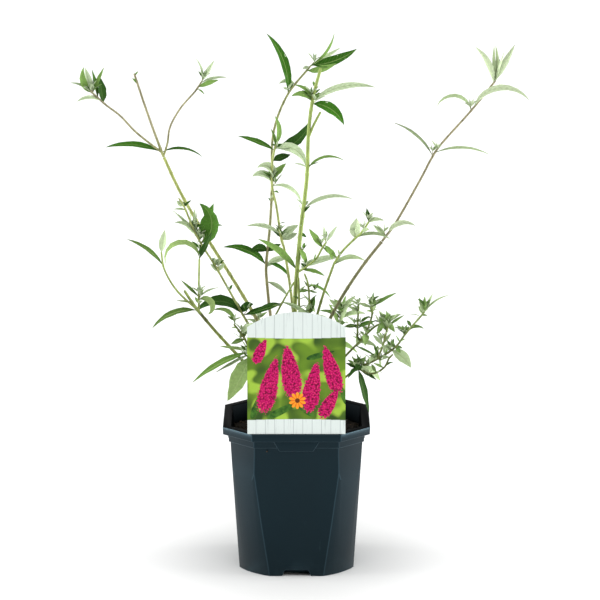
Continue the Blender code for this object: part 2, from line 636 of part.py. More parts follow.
def flat_outline(name, collection, points, thickness):
    """A flat closed outline, given thickness both ways from its own plane."""
    curve = bpy.data.curves.new(name, "CURVE")
    curve.dimensions = "2D"
    curve.fill_mode = "BOTH"
    curve.extrude = thickness / 2 * MM
    spline = curve.splines.new("POLY")
    spline.points.add(len(points) - 1)
    for point, (x, y) in zip(spline.points, points):
        point.co = (x * MM, y * MM, 0, 1)
    spline.use_cyclic_u = True
    made = bpy.data.objects.new(name, curve)
    collection.objects.link(made)
    return made


def arc(centre_x, centre_z, radius, start, end, steps):
    """Points along an arc, from one angle to another in degrees."""
    angles = [math.radians(start + (end - start) * i / steps) for i in range(steps + 1)]
    return [(centre_x + radius * math.cos(a), centre_z + radius * math.sin(a)) for a in angles]


def card_outline():
    """The card from the front: a square foot and a low arch at the top."""
    half = CARD_WIDTH / 2
    low = POT_HEIGHT + GAP
    rise = CARD_TOP - CARD_SHOULDER
    arch_radius = (half * half + rise * rise) / (2 * rise)
    arch_angle = math.degrees(math.asin(half / arch_radius))
    points = [(-half, low), (half, low)]
    points += arc(0, CARD_TOP - arch_radius, arch_radius, 90 - arch_angle, 90 + arch_angle, ARCH_STEPS)
    return points


def tongue_outline():
    """The tongue from the side, as (depth, height): behind the card, over the rim and down in the pot."""
    card_back = CARD_FRONT + CARD_THICK

    def wall_face(z):
        return -(FLAT_FOOT + FLAT_SLOPE * z - WALL) + 2 * GAP

    return [
        (card_back - CARD_THICK / 2, TONGUE_HIGH),
        (card_back - CARD_THICK / 2, TONGUE_STEP - TONGUE_THICK),
        (wall_face(POT_HEIGHT), POT_HEIGHT + 2 * GAP),
        (wall_face(TONGUE_LOW), TONGUE_LOW),
        (wall_face(TONGUE_LOW) + TONGUE_THICK, TONGUE_LOW),
        (wall_face(POT_HEIGHT) + TONGUE_THICK, POT_HEIGHT + 2 * GAP),
        (card_back + TONGUE_THICK, TONGUE_STEP + TONGUE_THICK),
        (card_back + TONGUE_THICK, TONGUE_HIGH),
    ]


def make_card(parts, cutters):
    """The picture card and its tongue, one piece of plastic."""
    card = flat_outline("card", cutters, card_outline(), CARD_THICK)
    card.rotation_euler = (math.pi / 2, 0, 0)
    card.location = (0, (CARD_FRONT + CARD_THICK / 2) * MM, 0)
    panel = as_mesh(card, "panel", cutters, CAP_WELD)
    side = flat_outline("tongue", cutters, tongue_outline(), TONGUE_WIDTH)
    side.rotation_euler = (math.pi / 2, 0, math.pi / 2)
    tongue = as_mesh(side, "tongue", cutters, CAP_WELD)
    boolean(panel, "UNION", tongue)
    return finished(panel, "label_card", parts, [tongue])


def make_compost(parts, cutters):
    """The compost fills the pot from its floor, with room for the card's tongue."""
    low = FLOOR_LOW + FLOOR_SKIN + GAP
    fill = pot_form("fill", cutters, low, COMPOST_TOP, WALL + GAP)
    width = TONGUE_WIDTH + 2 * SLOT_ROOM
    near = FLAT_FOOT - OVERRUN
    slot = trapezoid(
        "slot", cutters, TONGUE_LOW - SLOT_ROOM, COMPOST_TOP + OVERRUN, width, width,
        near, near + SLOT_DEPTH, 0.0,
    )
    boolean(fill, "DIFFERENCE", slot)
    return finished(fill, "compost", parts, [slot])


def make_stem_foot(name, collection, grown):
    """The short woody foot, turned from its profile, flared where it meets the compost."""
    bm = bmesh.new()
    low = COMPOST_TOP + GAP
    top = FOOT_PROFILE[-1][1]
    profile = [(0.0, top + grown)]
    profile += [(r + grown, h + (grown if h == top else 0)) for r, h in reversed(FOOT_PROFILE)]
    profile += [(0.0, 0.0)]
    verts = [bm.verts.new(Vector((r, 0, low + h)) * MM) for r, h in profile]
    for first, second in zip(verts, verts[1:]):
        bm.edges.new((first, second))
    mesh = bpy.data.meshes.new(name)
    bm.to_mesh(mesh)
    bm.free()
    turned = bpy.data.objects.new(name, mesh)
    collection.objects.link(turned)
    turned.location = Vector((*FOOT_CENTRE, 0)) * MM
    screw = turned.modifiers.new("Screw", "SCREW")
    screw.steps = FOOT_SIDES
    screw.render_steps = FOOT_SIDES
    screw.use_merge_vertices = True
    screw.merge_threshold = SCREW_MERGE
    return as_mesh(turned, name, collection, CAP_WELD)


def tube(name, collection, path, radii, profile=None):
    """A limb along a path, with its own radius at each point, as a curve made into a mesh."""
    curve = bpy.data.curves.new(name, "CURVE")
    curve.dimensions = "3D"
    curve.use_fill_caps = True
    if profile is None:
        curve.bevel_depth = MM
        curve.bevel_resolution = 1
    else:
        curve.bevel_mode = "OBJECT"
        curve.bevel_object = profile
    spline = curve.splines.new("POLY")
    spline.points.add(len(path) - 1)
    for point, place, radius in zip(spline.points, path, radii):
        point.co = (*(place * MM), 1)
        point.radius = radius
    made = bpy.data.objects.new(name, curve)
    collection.objects.link(made)
    return as_mesh(made, name, collection, CAP_WELD)


def twig_profile(collection):
    """The three-sided section that a twig's curve takes, a millimetre from its middle to each corner."""
    curve = bpy.data.curves.new("twig_profile", "CURVE")
    curve.dimensions = "2D"
    spline = curve.splines.new("POLY")
    spline.points.add(2)
    for corner, point in enumerate(spline.points):
        angle = corner * 2 * math.pi / 3
        point.co = (math.cos(angle) * MM, math.sin(angle) * MM, 0, 1)
    spline.use_cyclic_u = True
    made = bpy.data.objects.new("twig_profile", curve)
    made.hide_render = True
    made.display_type = "WIRE"
    collection.objects.link(made)
    return made


def cane_path(cane):
    """Points from a cane's foot to its tip."""
    start, end, off, side = Vector(cane.foot), Vector(cane.tip), Vector(cane.bow), Vector(cane.sway)
    path = []
    for step in range(CANE_STEPS + 1):
        t = step / CANE_STEPS
        arch = 4 * t * (1 - t)
        path.append(start.lerp(end, t) + off * arch + side * (arch * (1 - 2 * t) * SWAY_SCALE))
    return path


def smooth_path(points, steps):
    """A smooth curve through all the points, as a list of points that is a few steps long in each gap."""
    ends = [points[0] * 2 - points[1], *points, points[-1] * 2 - points[-2]]
    path = [points[0]]
    for before, first, second, after in zip(ends, ends[1:], ends[2:], ends[3:]):
        for step in range(1, steps + 1):
            t = step / steps
            path.append(
                0.5 * (
                    first * 2
                    + (second - before) * t
                    + (before * 2 - first * 5 + second * 4 - after) * t ** 2
                    + (first * 3 - before - second * 3 + after) * t ** 3
                )
            )
    return path


def along(path, share):
    """The place and the direction of a path at a share of its length."""
    lengths = [(b - a).length for a, b in zip(path, path[1:])]
    left = share * sum(lengths)
    for a, b, length in zip(path, path[1:], lengths):
        if left <= length or b is path[-1]:
            break
        left -= length
    return a.lerp(b, min(left / length, 1.0)), (b - a).normalized()


def leaf_line(leaf, root, share):
    """A leaf's middle at a share of its length: place, direction, side and upper normal."""
    bearing, rise, bend = (math.radians(v) for v in (leaf.bearing, leaf.rise, leaf.droop))
    heading = Vector((math.cos(bearing), math.sin(bearing), 0))
    slope = rise - bend * share
    if abs(bend) < LEAST_BEND:
        ahead, up = math.cos(rise) * share, math.sin(rise) * share
    else:
        ahead = (math.sin(rise) - math.sin(slope)) / bend
        up = (math.cos(slope) - math.cos(rise)) / bend
    place = root + (heading * ahead + Vector((0, 0, up))) * leaf.length
    direction = heading * math.cos(slope) + Vector((0, 0, math.sin(slope)))
    side = heading.cross(Vector((0, 0, 1)))
    turn = math.radians(leaf.face) * (1 if heading.x > 0 else -1)
    side.rotate(Matrix.Rotation(turn, 3, direction))
    return place, direction, side, side.cross(direction)


def leaf_bmesh(leaf, root, room=0.0):
    """A thin closed blade, folded a little along its midrib, from a stalk to a point."""
    thick = max(LEAF_THICK_LEAST, LEAF_THICK_SHARE * leaf.length)
    sections = LONG_LEAF if leaf.length >= LONG_LEAF_FROM else SHORT_LEAF
    bm = bmesh.new()
    rings = []
    for share, width_share in sections:
        place, _, side, normal = leaf_line(leaf, root, share)
        half = max(STALK_HALF_WIDTH, width_share * leaf.width) + room
        depth = (STALK_THICK if share == 0 else thick) / 2 + room
        fold = 0.0 if share == 0 else LEAF_FOLD * half
        corners = [
            place - side * half + normal * fold,
            place - normal * depth,
            place + side * half + normal * fold,
            place + normal * depth,
        ]
        rings.append([bm.verts.new(corner * MM) for corner in corners])
    tip = bm.verts.new(leaf_line(leaf, root, 1.0)[0] * MM)
    bm.faces.new(rings[0])
    for low, high in zip(rings, rings[1:]):
        for i in range(4):
            j = (i + 1) % 4
            bm.faces.new((low[i], low[j], high[j], high[i]))
    for i in range(4):
        bm.faces.new((rings[-1][i], rings[-1][(i + 1) % 4], tip))
    bmesh.ops.triangulate(bm, faces=bm.faces)
    return bm


def tuft_leaves(tuft, rng):
    """The young leaves at a shoot's tip, in crossed pairs that close up towards the top."""
    pairs, length, width = tuft
    start = rng.uniform(0, 90)
    leaves = []
    for pair in range(pairs):
        rise = TUFT_LOWEST_RISE + TUFT_RISE_STEP * pair
        for opposite in (0, 180):
            leaves.append(Leaf(
                at=1.0 - TUFT_SPACING * (pairs - 1 - pair),
                bearing=start + 90 * pair + opposite + rng.uniform(-TUFT_STRAY, TUFT_STRAY),
                rise=rise + rng.uniform(-TUFT_RISE_STRAY, TUFT_RISE_STRAY),
                droop=rng.uniform(0, TUFT_MOST_DROOP),
                length=length * (1 - TUFT_SHRINK * pair) * rng.uniform(*TUFT_LENGTHS),
                width=width,
                face=rng.uniform(-TUFT_MOST_FACE, TUFT_MOST_FACE),
            ))
    return leaves


def is_clear(bm, obstacles):
    tree = BVHTree.FromBMesh(bm)
    return not any(tree.overlap(other) for other in obstacles)


def grow(shoot, lead_in, collection, profile, obstacles, rng):
    """Adds a shoot's stem, its leaves and its side shoots to the collection. It returns the stem."""
    route = [lead_in[-1], *(Vector(point) for point in shoot.route)]
    path = lead_in[:-1] + smooth_path(route, STEM_STEPS)
    radii = [
        (shoot.thick + (shoot.thin - shoot.thick) * i / (len(path) - 1)) * TWIG_CORNER
        for i in range(len(path))
    ]
    stem = tube("twig", collection, path, radii, profile)
    leaves = list(shoot.leaves)
    if shoot.tuft:
        leaves += tuft_leaves(shoot.tuft, rng)
    for leaf in leaves:
        root, _ = along(path, leaf.at)
        for nudge in NUDGES:
            tried = leaf._replace(bearing=leaf.bearing + nudge)
            roomy = leaf_bmesh(tried, root, CLEAR_OF_LEAF)
            clear = is_clear(roomy, obstacles)
            roomy.free()
            if clear:
                object_from(leaf_bmesh(tried, root), "leaf", collection)
                break
    for side in shoot.shoots:
        grow(side, [along(path, side.at)[0]], collection, profile, obstacles, rng)
    return stem


def keep_main_shell(obj):
    """Drops loose scraps and the inner faces of sealed hollows, so that one closed body is left."""
    bm = bmesh.new()
    bm.from_mesh(obj.data)
    bmesh.ops.triangulate(bm, faces=bm.faces)
    unseen = set(bm.faces)
    shells = []
    while unseen:
        shell = {unseen.pop()}
        edge_faces = list(shell)
        while edge_faces:
            face = edge_faces.pop()
            for edge in face.edges:
                for other in edge.link_faces:
                    if other in unseen:
                        unseen.discard(other)
                        shell.add(other)
                        edge_faces.append(other)
        volume = sum(
            f.verts[0].co.dot(f.verts[1].co.cross(f.verts[2].co)) for f in shell
        )
        shells.append((volume, shell))
    main = max(shells, key=lambda item: item[0])[1]
    bmesh.ops.delete(bm, geom=[f for f in bm.faces if f not in main], context="FACES")
    bm.to_mesh(obj.data)
    bm.free()


def make_foliage(name, parts, cutters, profile, obstacles):
    """One mass: the leafy end of a cane, all its twigs and leaves fused into one body."""
    cane_name, shoot = FOLIAGE[name]
    cane = CANES[cane_name]
    path = cane_path(cane)
    ahead = (path[-1] - path[-2]).normalized()
    lead_in = [path[-1] + ahead * GAP, path[-1] + ahead * (GAP + STEM_LEAD_IN)]
    to_join = bpy.data.collections.new("to_join")
    cutters.children.link(to_join)
    stem = grow(shoot, lead_in, to_join, profile, obstacles, random.Random(name))
    to_join.objects.unlink(stem)
    cutters.objects.link(stem)
    boolean(stem, "UNION", to_join)
    made = finished(stem, name, parts, list(to_join.objects))
    bpy.data.collections.remove(to_join)
    keep_main_shell(made)
    return made


def tree_of(obj):
    bm = bmesh.new()
    bm.from_mesh(obj.data)
    tree = BVHTree.FromBMesh(bm)
    bm.free()
    return tree


def make_cane(name, parts, cutters):
    """One cane, its foot cut to lie against the woody foot."""
    cane = CANES[name]
    path = cane_path(cane)
    radii = [(cane.thick + (cane.thin - cane.thick) * i / CANE_STEPS) / 2 for i in range(CANE_STEPS + 1)]
    limb = tube(name, cutters, path, radii)
    seat = make_stem_foot("seat", cutters, GAP)
    boolean(limb, "DIFFERENCE", seat)
    made = finished(limb, name, parts, [seat])
    keep_main_shell(made)
    return made


def main():
    clear_scene()
    parts = new_collection("potted_butterfly_bush", True)
    cutters = new_collection("cutters", False)
    made = [
        make_pot(parts, cutters),
        make_compost(parts, cutters),
        make_card(parts, cutters),
        make_stem_foot("stem_foot", parts, 0.0),
    ]
    for name in CANES:
        made.append(make_cane(name, parts, cutters))
    obstacles = [tree_of(piece) for piece in made]
    profile = twig_profile(cutters)
    for name in FOLIAGE:
        mass = make_foliage(name, parts, cutters, profile, obstacles)
        obstacles.append(tree_of(mass))
        made.append(mass)
    bpy.data.objects.remove(profile)
    for piece in made:
        piece.data.materials.clear()
        piece.data.materials.append(material(piece.name))


main()
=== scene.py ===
import math
import random
from collections import namedtuple

import bmesh
import bpy
from mathutils import Matrix, Vector
from mathutils.kdtree import KDTree


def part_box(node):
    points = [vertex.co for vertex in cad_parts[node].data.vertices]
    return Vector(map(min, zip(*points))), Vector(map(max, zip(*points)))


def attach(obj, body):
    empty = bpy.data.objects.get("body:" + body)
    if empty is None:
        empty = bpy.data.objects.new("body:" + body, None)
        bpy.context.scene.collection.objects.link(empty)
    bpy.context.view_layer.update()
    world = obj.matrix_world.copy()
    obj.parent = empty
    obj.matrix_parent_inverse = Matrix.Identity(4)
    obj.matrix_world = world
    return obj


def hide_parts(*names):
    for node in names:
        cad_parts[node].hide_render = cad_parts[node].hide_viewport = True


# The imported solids, which everything below is fitted round. Sizes are in millimetres and angles
# in degrees, as on a drawing, and MM turns them into metres.
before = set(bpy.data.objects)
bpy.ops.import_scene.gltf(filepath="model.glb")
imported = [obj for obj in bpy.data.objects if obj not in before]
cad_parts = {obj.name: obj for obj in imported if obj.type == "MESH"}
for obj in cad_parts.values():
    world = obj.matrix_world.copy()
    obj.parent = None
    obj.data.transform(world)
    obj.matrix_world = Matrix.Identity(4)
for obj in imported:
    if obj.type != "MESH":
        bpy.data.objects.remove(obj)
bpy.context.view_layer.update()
MM = 0.001


# The pot. A two-litre nursery pot, moulded in one piece from dark blue-grey plastic: satin
# outside, with a painted highlight along its rounded edges, small scuffs, dust round the foot,
# and painted shade on its inner walls and the top of its rim.
POT_ROUNDING = 0.60
POT_EDGE_FROM = 13  # faces that turn by this angle or more meet in an edge
POT_SMOOTH = 38
POT_COLOUR = (0.0025, 0.0044, 0.0056)
POT_SHADES = (0.80, 1.30)
POT_DUST = (0.020, 0.036, 0.042)
POT_GLOSS_TINT = (0.38, 0.76, 0.98, 1.0)
POT_FINISHES = (  # name, strength of the colour, roughness, gloss
    ("pot_plastic", 1.0, 0.34, 0.27),
    # painted highlight on the rounded edges: the colour five times as strong
    ("pot_edge_highlight", 5.0, 0.30, 0.30),
    # painted shade inside the pot and on the rim's top: nearly black, with little gloss
    ("pot_shaded_inside", 0.12, 0.45, 0.012),
)
EDGE_HIGHLIGHT, SHADED_INSIDE = 1, 2  # their places in that list
DUST_TOP = 26.0
INSIDE_FROM = 12.0  # above the raised floor
INWARD = -0.3  # how far a face looks away from the middle, where less is inwards
RIM_FROM = 150.0
LEVEL = 0.9  # how far a face looks up, where more is level
JOIN_WITHIN = 0.01
FLAT_WITHIN = 0.6  # faces that turn by less than this angle are one flat face


def node(tree, kind, values=None, **settings):
    """A node in a tree, with its settings, and with a value or another node's output on its inputs."""
    made = tree.nodes.new(kind)
    for setting, value in settings.items():
        setattr(made, setting, value)
    for socket, value in (values or {}).items():
        if isinstance(value, bpy.types.NodeSocket):
            tree.links.new(value, made.inputs[socket])
        else:
            made.inputs[socket].default_value = value
    return made


def out(tree, kind, values=None, **settings):
    """The first output of such a node."""
    return node(tree, kind, values, **settings).outputs[0]


def number(tree, operation, *values, clamp=False):
    """The result of a sum on numbers that change over the surface."""
    return out(tree, "ShaderNodeMath", dict(enumerate(values)), operation=operation, use_clamp=clamp)


def plus(tree, first, second):
    return number(tree, "ADD", first, second)


def times(tree, first, second):
    return number(tree, "MULTIPLY", first, second)


def slope(tree, value, rise, start):
    """A straight line of a value, which begins at start and climbs by rise as the value goes to 1."""
    return number(tree, "MULTIPLY_ADD", value, rise, start)


def fade(tree, value, low, high, start=0.0, end=1.0):
    """A soft step of a value, from start at low to end at high."""
    values = {0: value, 1: low, 2: high, 3: start, 4: end}
    return out(tree, "ShaderNodeMapRange", values, interpolation_type="SMOOTHSTEP")


def mix(tree, share, first, second):
    """Two colours mixed, with all of the second where the share is 1."""
    values = {0: share}
    for socket, colour in ((6, first), (7, second)):
        values[socket] = (*colour, 1.0) if isinstance(colour, tuple) else colour
    return node(tree, "ShaderNodeMix", values, data_type="RGBA").outputs[2]


def shaded(colour, share):
    """A colour made darker or lighter by a share."""
    return tuple(part * share for part in colour)


def here(tree):
    """The object's own coordinates, in metres."""
    return node(tree, "ShaderNodeTexCoord").outputs["Object"]


def axis(tree, vector, letter):
    """One coordinate of a vector."""
    return node(tree, "ShaderNodeSeparateXYZ", {0: vector}).outputs[letter]


def cloud(tree, scale, detail=3.0, stretch=None, roughness=0.55):
    """Soft irregular noise over the object's own coordinates, from 0 to 1."""
    place = here(tree)
    if stretch:
        place = out(tree, "ShaderNodeMapping", {"Vector": place, "Scale": stretch})
    values = {"Vector": place, "Scale": scale, "Detail": detail, "Roughness": roughness}
    return out(tree, "ShaderNodeTexNoise", values)


def new_material(name, **fixed):
    """A material with its shader, whose constant values are set on the shader's own sockets."""
    made = bpy.data.materials.new(name)
    made.use_nodes = True
    shader = made.node_tree.nodes["Principled BSDF"]
    for socket, value in fixed.items():
        shader.inputs[socket.replace("_", " ")].default_value = value
    return made, made.node_tree


def finish_surface(made, colour, roughness, height, depth):
    """Joins a colour, a roughness and a relief in millimetres to a material's shader."""
    tree = made.node_tree
    relief = out(tree, "ShaderNodeBump", {"Height": height, "Distance": depth * MM, "Strength": 1.0})
    for socket, value in (("Base Color", colour), ("Roughness", roughness), ("Normal", relief)):
        tree.links.new(value, tree.nodes["Principled BSDF"].inputs[socket])
    return made


def new_tree(kind, name, inputs, outputs):
    """A tree with named inputs, each given by its first value or else its kind, and named outputs."""
    tree = bpy.data.node_groups.new(name, kind + "NodeTree")
    for label, value in inputs.items():
        socket = {float: "Float", int: "Int"}.get(type(value), value)
        made = tree.interface.new_socket(label, in_out="INPUT", socket_type="NodeSocket" + socket)
        if socket != value:
            made.default_value = value
    for label in outputs:
        socket = "Geometry" if kind == "Geometry" else "Float"
        tree.interface.new_socket(label, in_out="OUTPUT", socket_type="NodeSocket" + socket)
    return tree, tree.nodes.new("NodeGroupInput").outputs


def plastic_pattern():
    """Uneven shade, wear and fine grain of the plastic: scuffs, specks, and dust round the foot."""
    group, given = new_tree("Shader", "plastic pattern", {"Scuffs": 0.30, "Specks": 0.45, "Dust": 0.30},
                            ("Shade", "Worn", "Grain"))
    shade = cloud(group, 14.0, 4.0, stretch=(1, 1, 0.35))
    scuffs = fade(group, cloud(group, 90.0, 6.0, stretch=(1, 1, 0.16), roughness=0.72), 0.66, 0.74)
    scuffs = times(group, scuffs, given["Scuffs"])
    specks = times(group, fade(group, cloud(group, 420.0, 2.0), 0.74, 0.80), given["Specks"])
    low = fade(group, axis(group, here(group), "Z"), 0.0, DUST_TOP * MM, 1.0, 0.0)
    dust = times(group, low, fade(group, cloud(group, 55.0, 5.0), 0.40, 0.72))
    worn = number(group, "MAXIMUM", scuffs, specks)
    worn = number(group, "ADD", worn, times(group, dust, given["Dust"]), clamp=True)
    grain = plus(group, cloud(group, 900.0, 2.0), times(group, cloud(group, 40.0), 1.5))
    node(group, "NodeGroupOutput", {"Shade": shade, "Worn": worn, "Grain": grain})
    return group


def pot_plastic(name, strength, roughness, gloss):
    """The plastic in one of its finishes, with its colour weaker or stronger: stronger for the painted
    highlight on the edges, weaker for the painted shade inside.
    """
    made, tree = new_material(name, Specular_IOR_Level=gloss, Specular_Tint=POT_GLOSS_TINT)
    pattern = node(tree, "ShaderNodeGroup", node_tree=plastic_group).outputs
    deep, bright = (shaded(POT_COLOUR, share * strength) for share in POT_SHADES)
    colour = mix(tree, pattern["Worn"], mix(tree, pattern["Shade"], deep, bright), POT_DUST)
    rough = slope(tree, pattern["Worn"], 0.30, slope(tree, pattern["Shade"], 0.14, roughness - 0.07))
    return finish_surface(made, colour, rough, pattern["Grain"], 0.05)


def new_object(name, data):
    made = bpy.data.objects.new(name, data)
    bpy.context.scene.collection.objects.link(made)
    return made


def copy_of_solid(name, solid, flat=False):
    """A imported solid's mesh with its loose triangles joined, as a new object for a finer piece."""
    bm = bmesh.new()
    bm.from_mesh(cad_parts[solid].data)
    bmesh.ops.remove_doubles(bm, verts=bm.verts, dist=JOIN_WITHIN * MM)
    if flat:
        bmesh.ops.dissolve_limit(bm, angle_limit=math.radians(FLAT_WITHIN), verts=bm.verts, edges=bm.edges)
    mesh = bpy.data.meshes.new(name)
    bm.to_mesh(mesh)
    bm.free()
    return new_object(name, mesh)


def shade_soft(mesh, angle):
    """Shades a mesh smoothly over all edges that turn by less than an angle."""
    mesh.shade_smooth()
    mesh.set_sharp_from_angle(angle=math.radians(angle))


def settle(piece, smooth=None):
    """Works a piece's modifiers out and leaves it a plain mesh."""
    bpy.context.view_layer.update()
    graph = bpy.context.evaluated_depsgraph_get()
    mesh = bpy.data.meshes.new_from_object(piece.evaluated_get(graph))
    piece.modifiers.clear()
    piece.data = mesh
    if smooth:
        shade_soft(mesh, smooth)


def give_material(piece, *materials):
    """Changes a piece's materials. The clear also sets every face back to the first of them."""
    if piece.data.materials:
        piece.data.materials.clear()
    for one in materials:
        piece.data.materials.append(one)


def stand_in(piece, solid):
    """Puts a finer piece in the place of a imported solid."""
    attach(piece, "root")
    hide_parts(solid)


plastic_group = plastic_pattern()
pot = copy_of_solid("pot_moulding", "pot", flat=True)
rounding = pot.modifiers.new("rounded edges", "BEVEL")
rounding.width = POT_ROUNDING * MM
rounding.segments = 2
rounding.limit_method = "ANGLE"
rounding.angle_limit = math.radians(POT_EDGE_FROM)
rounding.use_clamp_overlap = False
# The rounded edges take the second finish, a painted highlight.
rounding.material = EDGE_HIGHLIGHT
give_material(pot, *(pot_plastic(*finish) for finish in POT_FINISHES))
settle(pot, POT_SMOOTH)
# Painted shade: the inner walls above the raised floor and the rim's level top take the third, nearly black
# finish.
for face in pot.data.polygons:
    inward = face.normal.xy.dot(face.center.xy) < INWARD * face.center.xy.length
    on_rim = face.normal.z > LEVEL and face.center.z > RIM_FROM * MM and face.material_index != EDGE_HIGHLIGHT
    if (inward and face.center.z > INSIDE_FROM * MM) or on_rim:
        face.material_index = SHADED_INSIDE
stand_in(pot, "pot")


# The compost. Moist, nearly black potting compost, filled loosely to a thumb's width below the
# rim: crumbs of many sizes and bark slivers lie on its uneven top.
COMPOST_TOP = 136.0
COMPOST_LOOSE = 3.0  # how far below its top the compost is still loose
COMPOST_RELIEF = 4.0
COMPOST_EVEN = 0.62  # noise of this value leaves the top where it is
COMPOST_LUMPS = 60.0
STREWN_SEED, SHAPE_SEED, TURN_SEED, SIZE_SEED = 3, 5, 8, 11
COMPOST_VOXEL = 2.6
COMPOST_COLOUR = (0.0035, 0.0028, 0.0022)
CRUMB_COLOUR = (0.020, 0.014, 0.009)
SLIVER_COLOUR = (0.085, 0.055, 0.032)
CRUMBS, SLIVERS = 60000.0, 6000.0  # on a square metre
CRUMB_SIZES = (0.4, 1.9)
SLIVER_SIZES = (0.6, 1.3)
SLIVER_SHAPE = (7.0, 1.1, 0.8)
SLIVER_TILT = 0.35
UNEVEN = ((0.7, 0.7, 0.5), (1.3, 1.2, 1.0))  # the least and the most that a crumb is stretched


def compost_pattern():
    """The mottling, dampness and fine relief of the compost and of all that lies in it."""
    group, given = new_tree("Shader", "compost pattern", {"Mottling": 260.0}, ("Shade", "Damp", "Height"))
    shade = fade(group, cloud(group, given["Mottling"], 4.0), 0.35, 0.70)
    node(group, "NodeGroupOutput", {
        "Shade": shade, "Damp": cloud(group, 80.0), "Height": cloud(group, 700.0, 4.0)})
    return group


def compost_material(name, dark, light, roughness):
    made, tree = new_material(name, Specular_IOR_Level=0.12)
    pattern = node(tree, "ShaderNodeGroup", node_tree=compost_group).outputs
    wet = slope(tree, pattern["Damp"], -0.25, roughness + 0.12)
    return finish_surface(made, mix(tree, pattern["Shade"], dark, light), wet, pattern["Height"], 0.4)


def minus(tree, first, second):
    return number(tree, "SUBTRACT", first, second)


def geometry_tree(name, **inputs):
    return new_tree("Geometry", name, {"Geometry": "Geometry", **inputs}, ("Geometry",))


def set_inputs(piece, tree, **values):
    """Puts a geometry tree on a piece, with its inputs set by their identifiers."""
    step = piece.modifiers.new(tree.name, "NODES")
    step.node_group = tree
    for item in tree.interface.items_tree:
        if item.in_out == "INPUT" and item.name in values:
            step[item.identifier] = values[item.name]


def fine_blocks(piece, size):
    """Remakes a mesh in small equal blocks, which a relief can push about."""
    blocks = piece.modifiers.new("fine blocks", "REMESH")
    blocks.mode = "VOXEL"
    blocks.voxel_size = size * MM


def scaled(tree, vector, size):
    return out(tree, "ShaderNodeVectorMath", {0: vector, "Scale": size}, operation="SCALE")


def random_vector(tree, least, most, seed):
    values = {0: least, 1: most, "Seed": seed}
    return out(tree, "FunctionNodeRandomValue", values, data_type="FLOAT_VECTOR")


def dress(tree, surface, material):
    return out(tree, "GeometryNodeSetMaterial", {"Geometry": surface, "Material": material})


def crumb_tree():
    """Roughens a top face and strews crumbs and slivers over it."""
    tree, given = geometry_tree(
        "strewn crumbs", Top=COMPOST_TOP * MM, Relief=COMPOST_RELIEF * MM, Crumbs=CRUMBS, Slivers=SLIVERS,
        Seed=STREWN_SEED, Ground="Material", Crumb="Material", Sliver="Material")
    level = axis(tree, out(tree, "GeometryNodeInputPosition"), "Z")
    near_top = number(tree, "GREATER_THAN", level, minus(tree, given["Top"], COMPOST_LOOSE * MM))
    lump = out(tree, "ShaderNodeTexNoise", {"Scale": COMPOST_LUMPS, "Detail": 5.0, "Roughness": 0.65})
    rise = times(tree, minus(tree, lump, COMPOST_EVEN), given["Relief"])
    lift = out(tree, "ShaderNodeCombineXYZ", {"Z": rise})
    lifted = {"Geometry": given["Geometry"], "Selection": near_top, "Offset": lift}
    ground = out(tree, "GeometryNodeSetPosition", lifted)
    ground = out(tree, "GeometryNodeSetShadeSmooth", {"Geometry": ground})
    up = axis(tree, out(tree, "GeometryNodeInputNormal"), "Z")
    level_top = times(tree, near_top, number(tree, "GREATER_THAN", up, 0.5))
    joined = node(tree, "GeometryNodeJoinGeometry")
    tree.links.new(dress(tree, ground, given["Ground"]), joined.inputs[0])
    ball = out(tree, "GeometryNodeMeshIcoSphere", {"Radius": 1.0, "Subdivisions": 1})
    chip = out(tree, "GeometryNodeMeshCube", {"Size": SLIVER_SHAPE})
    for shape, kind, (least, most), seed, turn_from, turn_to in (
        (ball, "Crumb", CRUMB_SIZES, 0, (0.0, 0.0, 0.0), (math.tau, math.tau, math.tau)),
        (chip, "Sliver", SLIVER_SIZES, 1, (-SLIVER_TILT, -SLIVER_TILT, 0.0),
         (SLIVER_TILT, SLIVER_TILT, math.tau)),
    ):
        spots = out(tree, "GeometryNodeDistributePointsOnFaces", {
            "Mesh": ground, "Selection": level_top, "Density": given[kind + "s"], "Seed": given["Seed"]})
        sizes = {2: least * MM, 3: most * MM, "Seed": SIZE_SEED + seed}
        size = node(tree, "FunctionNodeRandomValue", sizes).outputs[1]
        turn = random_vector(tree, turn_from, turn_to, TURN_SEED + seed)
        stretch = scaled(tree, random_vector(tree, *UNEVEN, SHAPE_SEED), size)
        placed = {"Points": spots, "Instance": shape, "Rotation": turn, "Scale": stretch}
        laid = out(tree, "GeometryNodeInstanceOnPoints", placed)
        real = out(tree, "GeometryNodeRealizeInstances", {"Geometry": laid})
        tree.links.new(dress(tree, real, given[kind]), joined.inputs[0])
    node(tree, "NodeGroupOutput", {0: joined.outputs[0]})
    return tree


compost_group = compost_pattern()
compost = copy_of_solid("compost_fill", "compost")
fine_blocks(compost, COMPOST_VOXEL)
set_inputs(compost, crumb_tree(),
           Ground=compost_material("compost_ground", COMPOST_COLOUR, CRUMB_COLOUR, 0.80),
           Crumb=compost_material("compost_crumb", COMPOST_COLOUR, CRUMB_COLOUR, 0.75),
           Sliver=compost_material("bark_sliver", CRUMB_COLOUR, SLIVER_COLOUR, 0.85))
settle(compost)
stand_in(compost, "compost")


# The woody foot. A short knuckle of rough brown bark, half sunk in the compost, that every cane
# springs from: the older wood of the shrub, cracked lengthwise.
FOOT_VOXEL = 0.9
FOOT_RELIEF = 2.8
FOOT_RIDGES = 240.0
FOOT_DARK = (35, 24, 16)  # in thousandths, as all bark and leaf colours
FOOT_LIGHT = (150, 110, 72)
FOOT_TONE = (FOOT_DARK, FOOT_LIGHT, FOOT_DARK, FOOT_LIGHT, 0, 200)  # the same from 0 to 200 mm up


def thousandths(colour):
    return tuple(part / 1000 for part in colour)


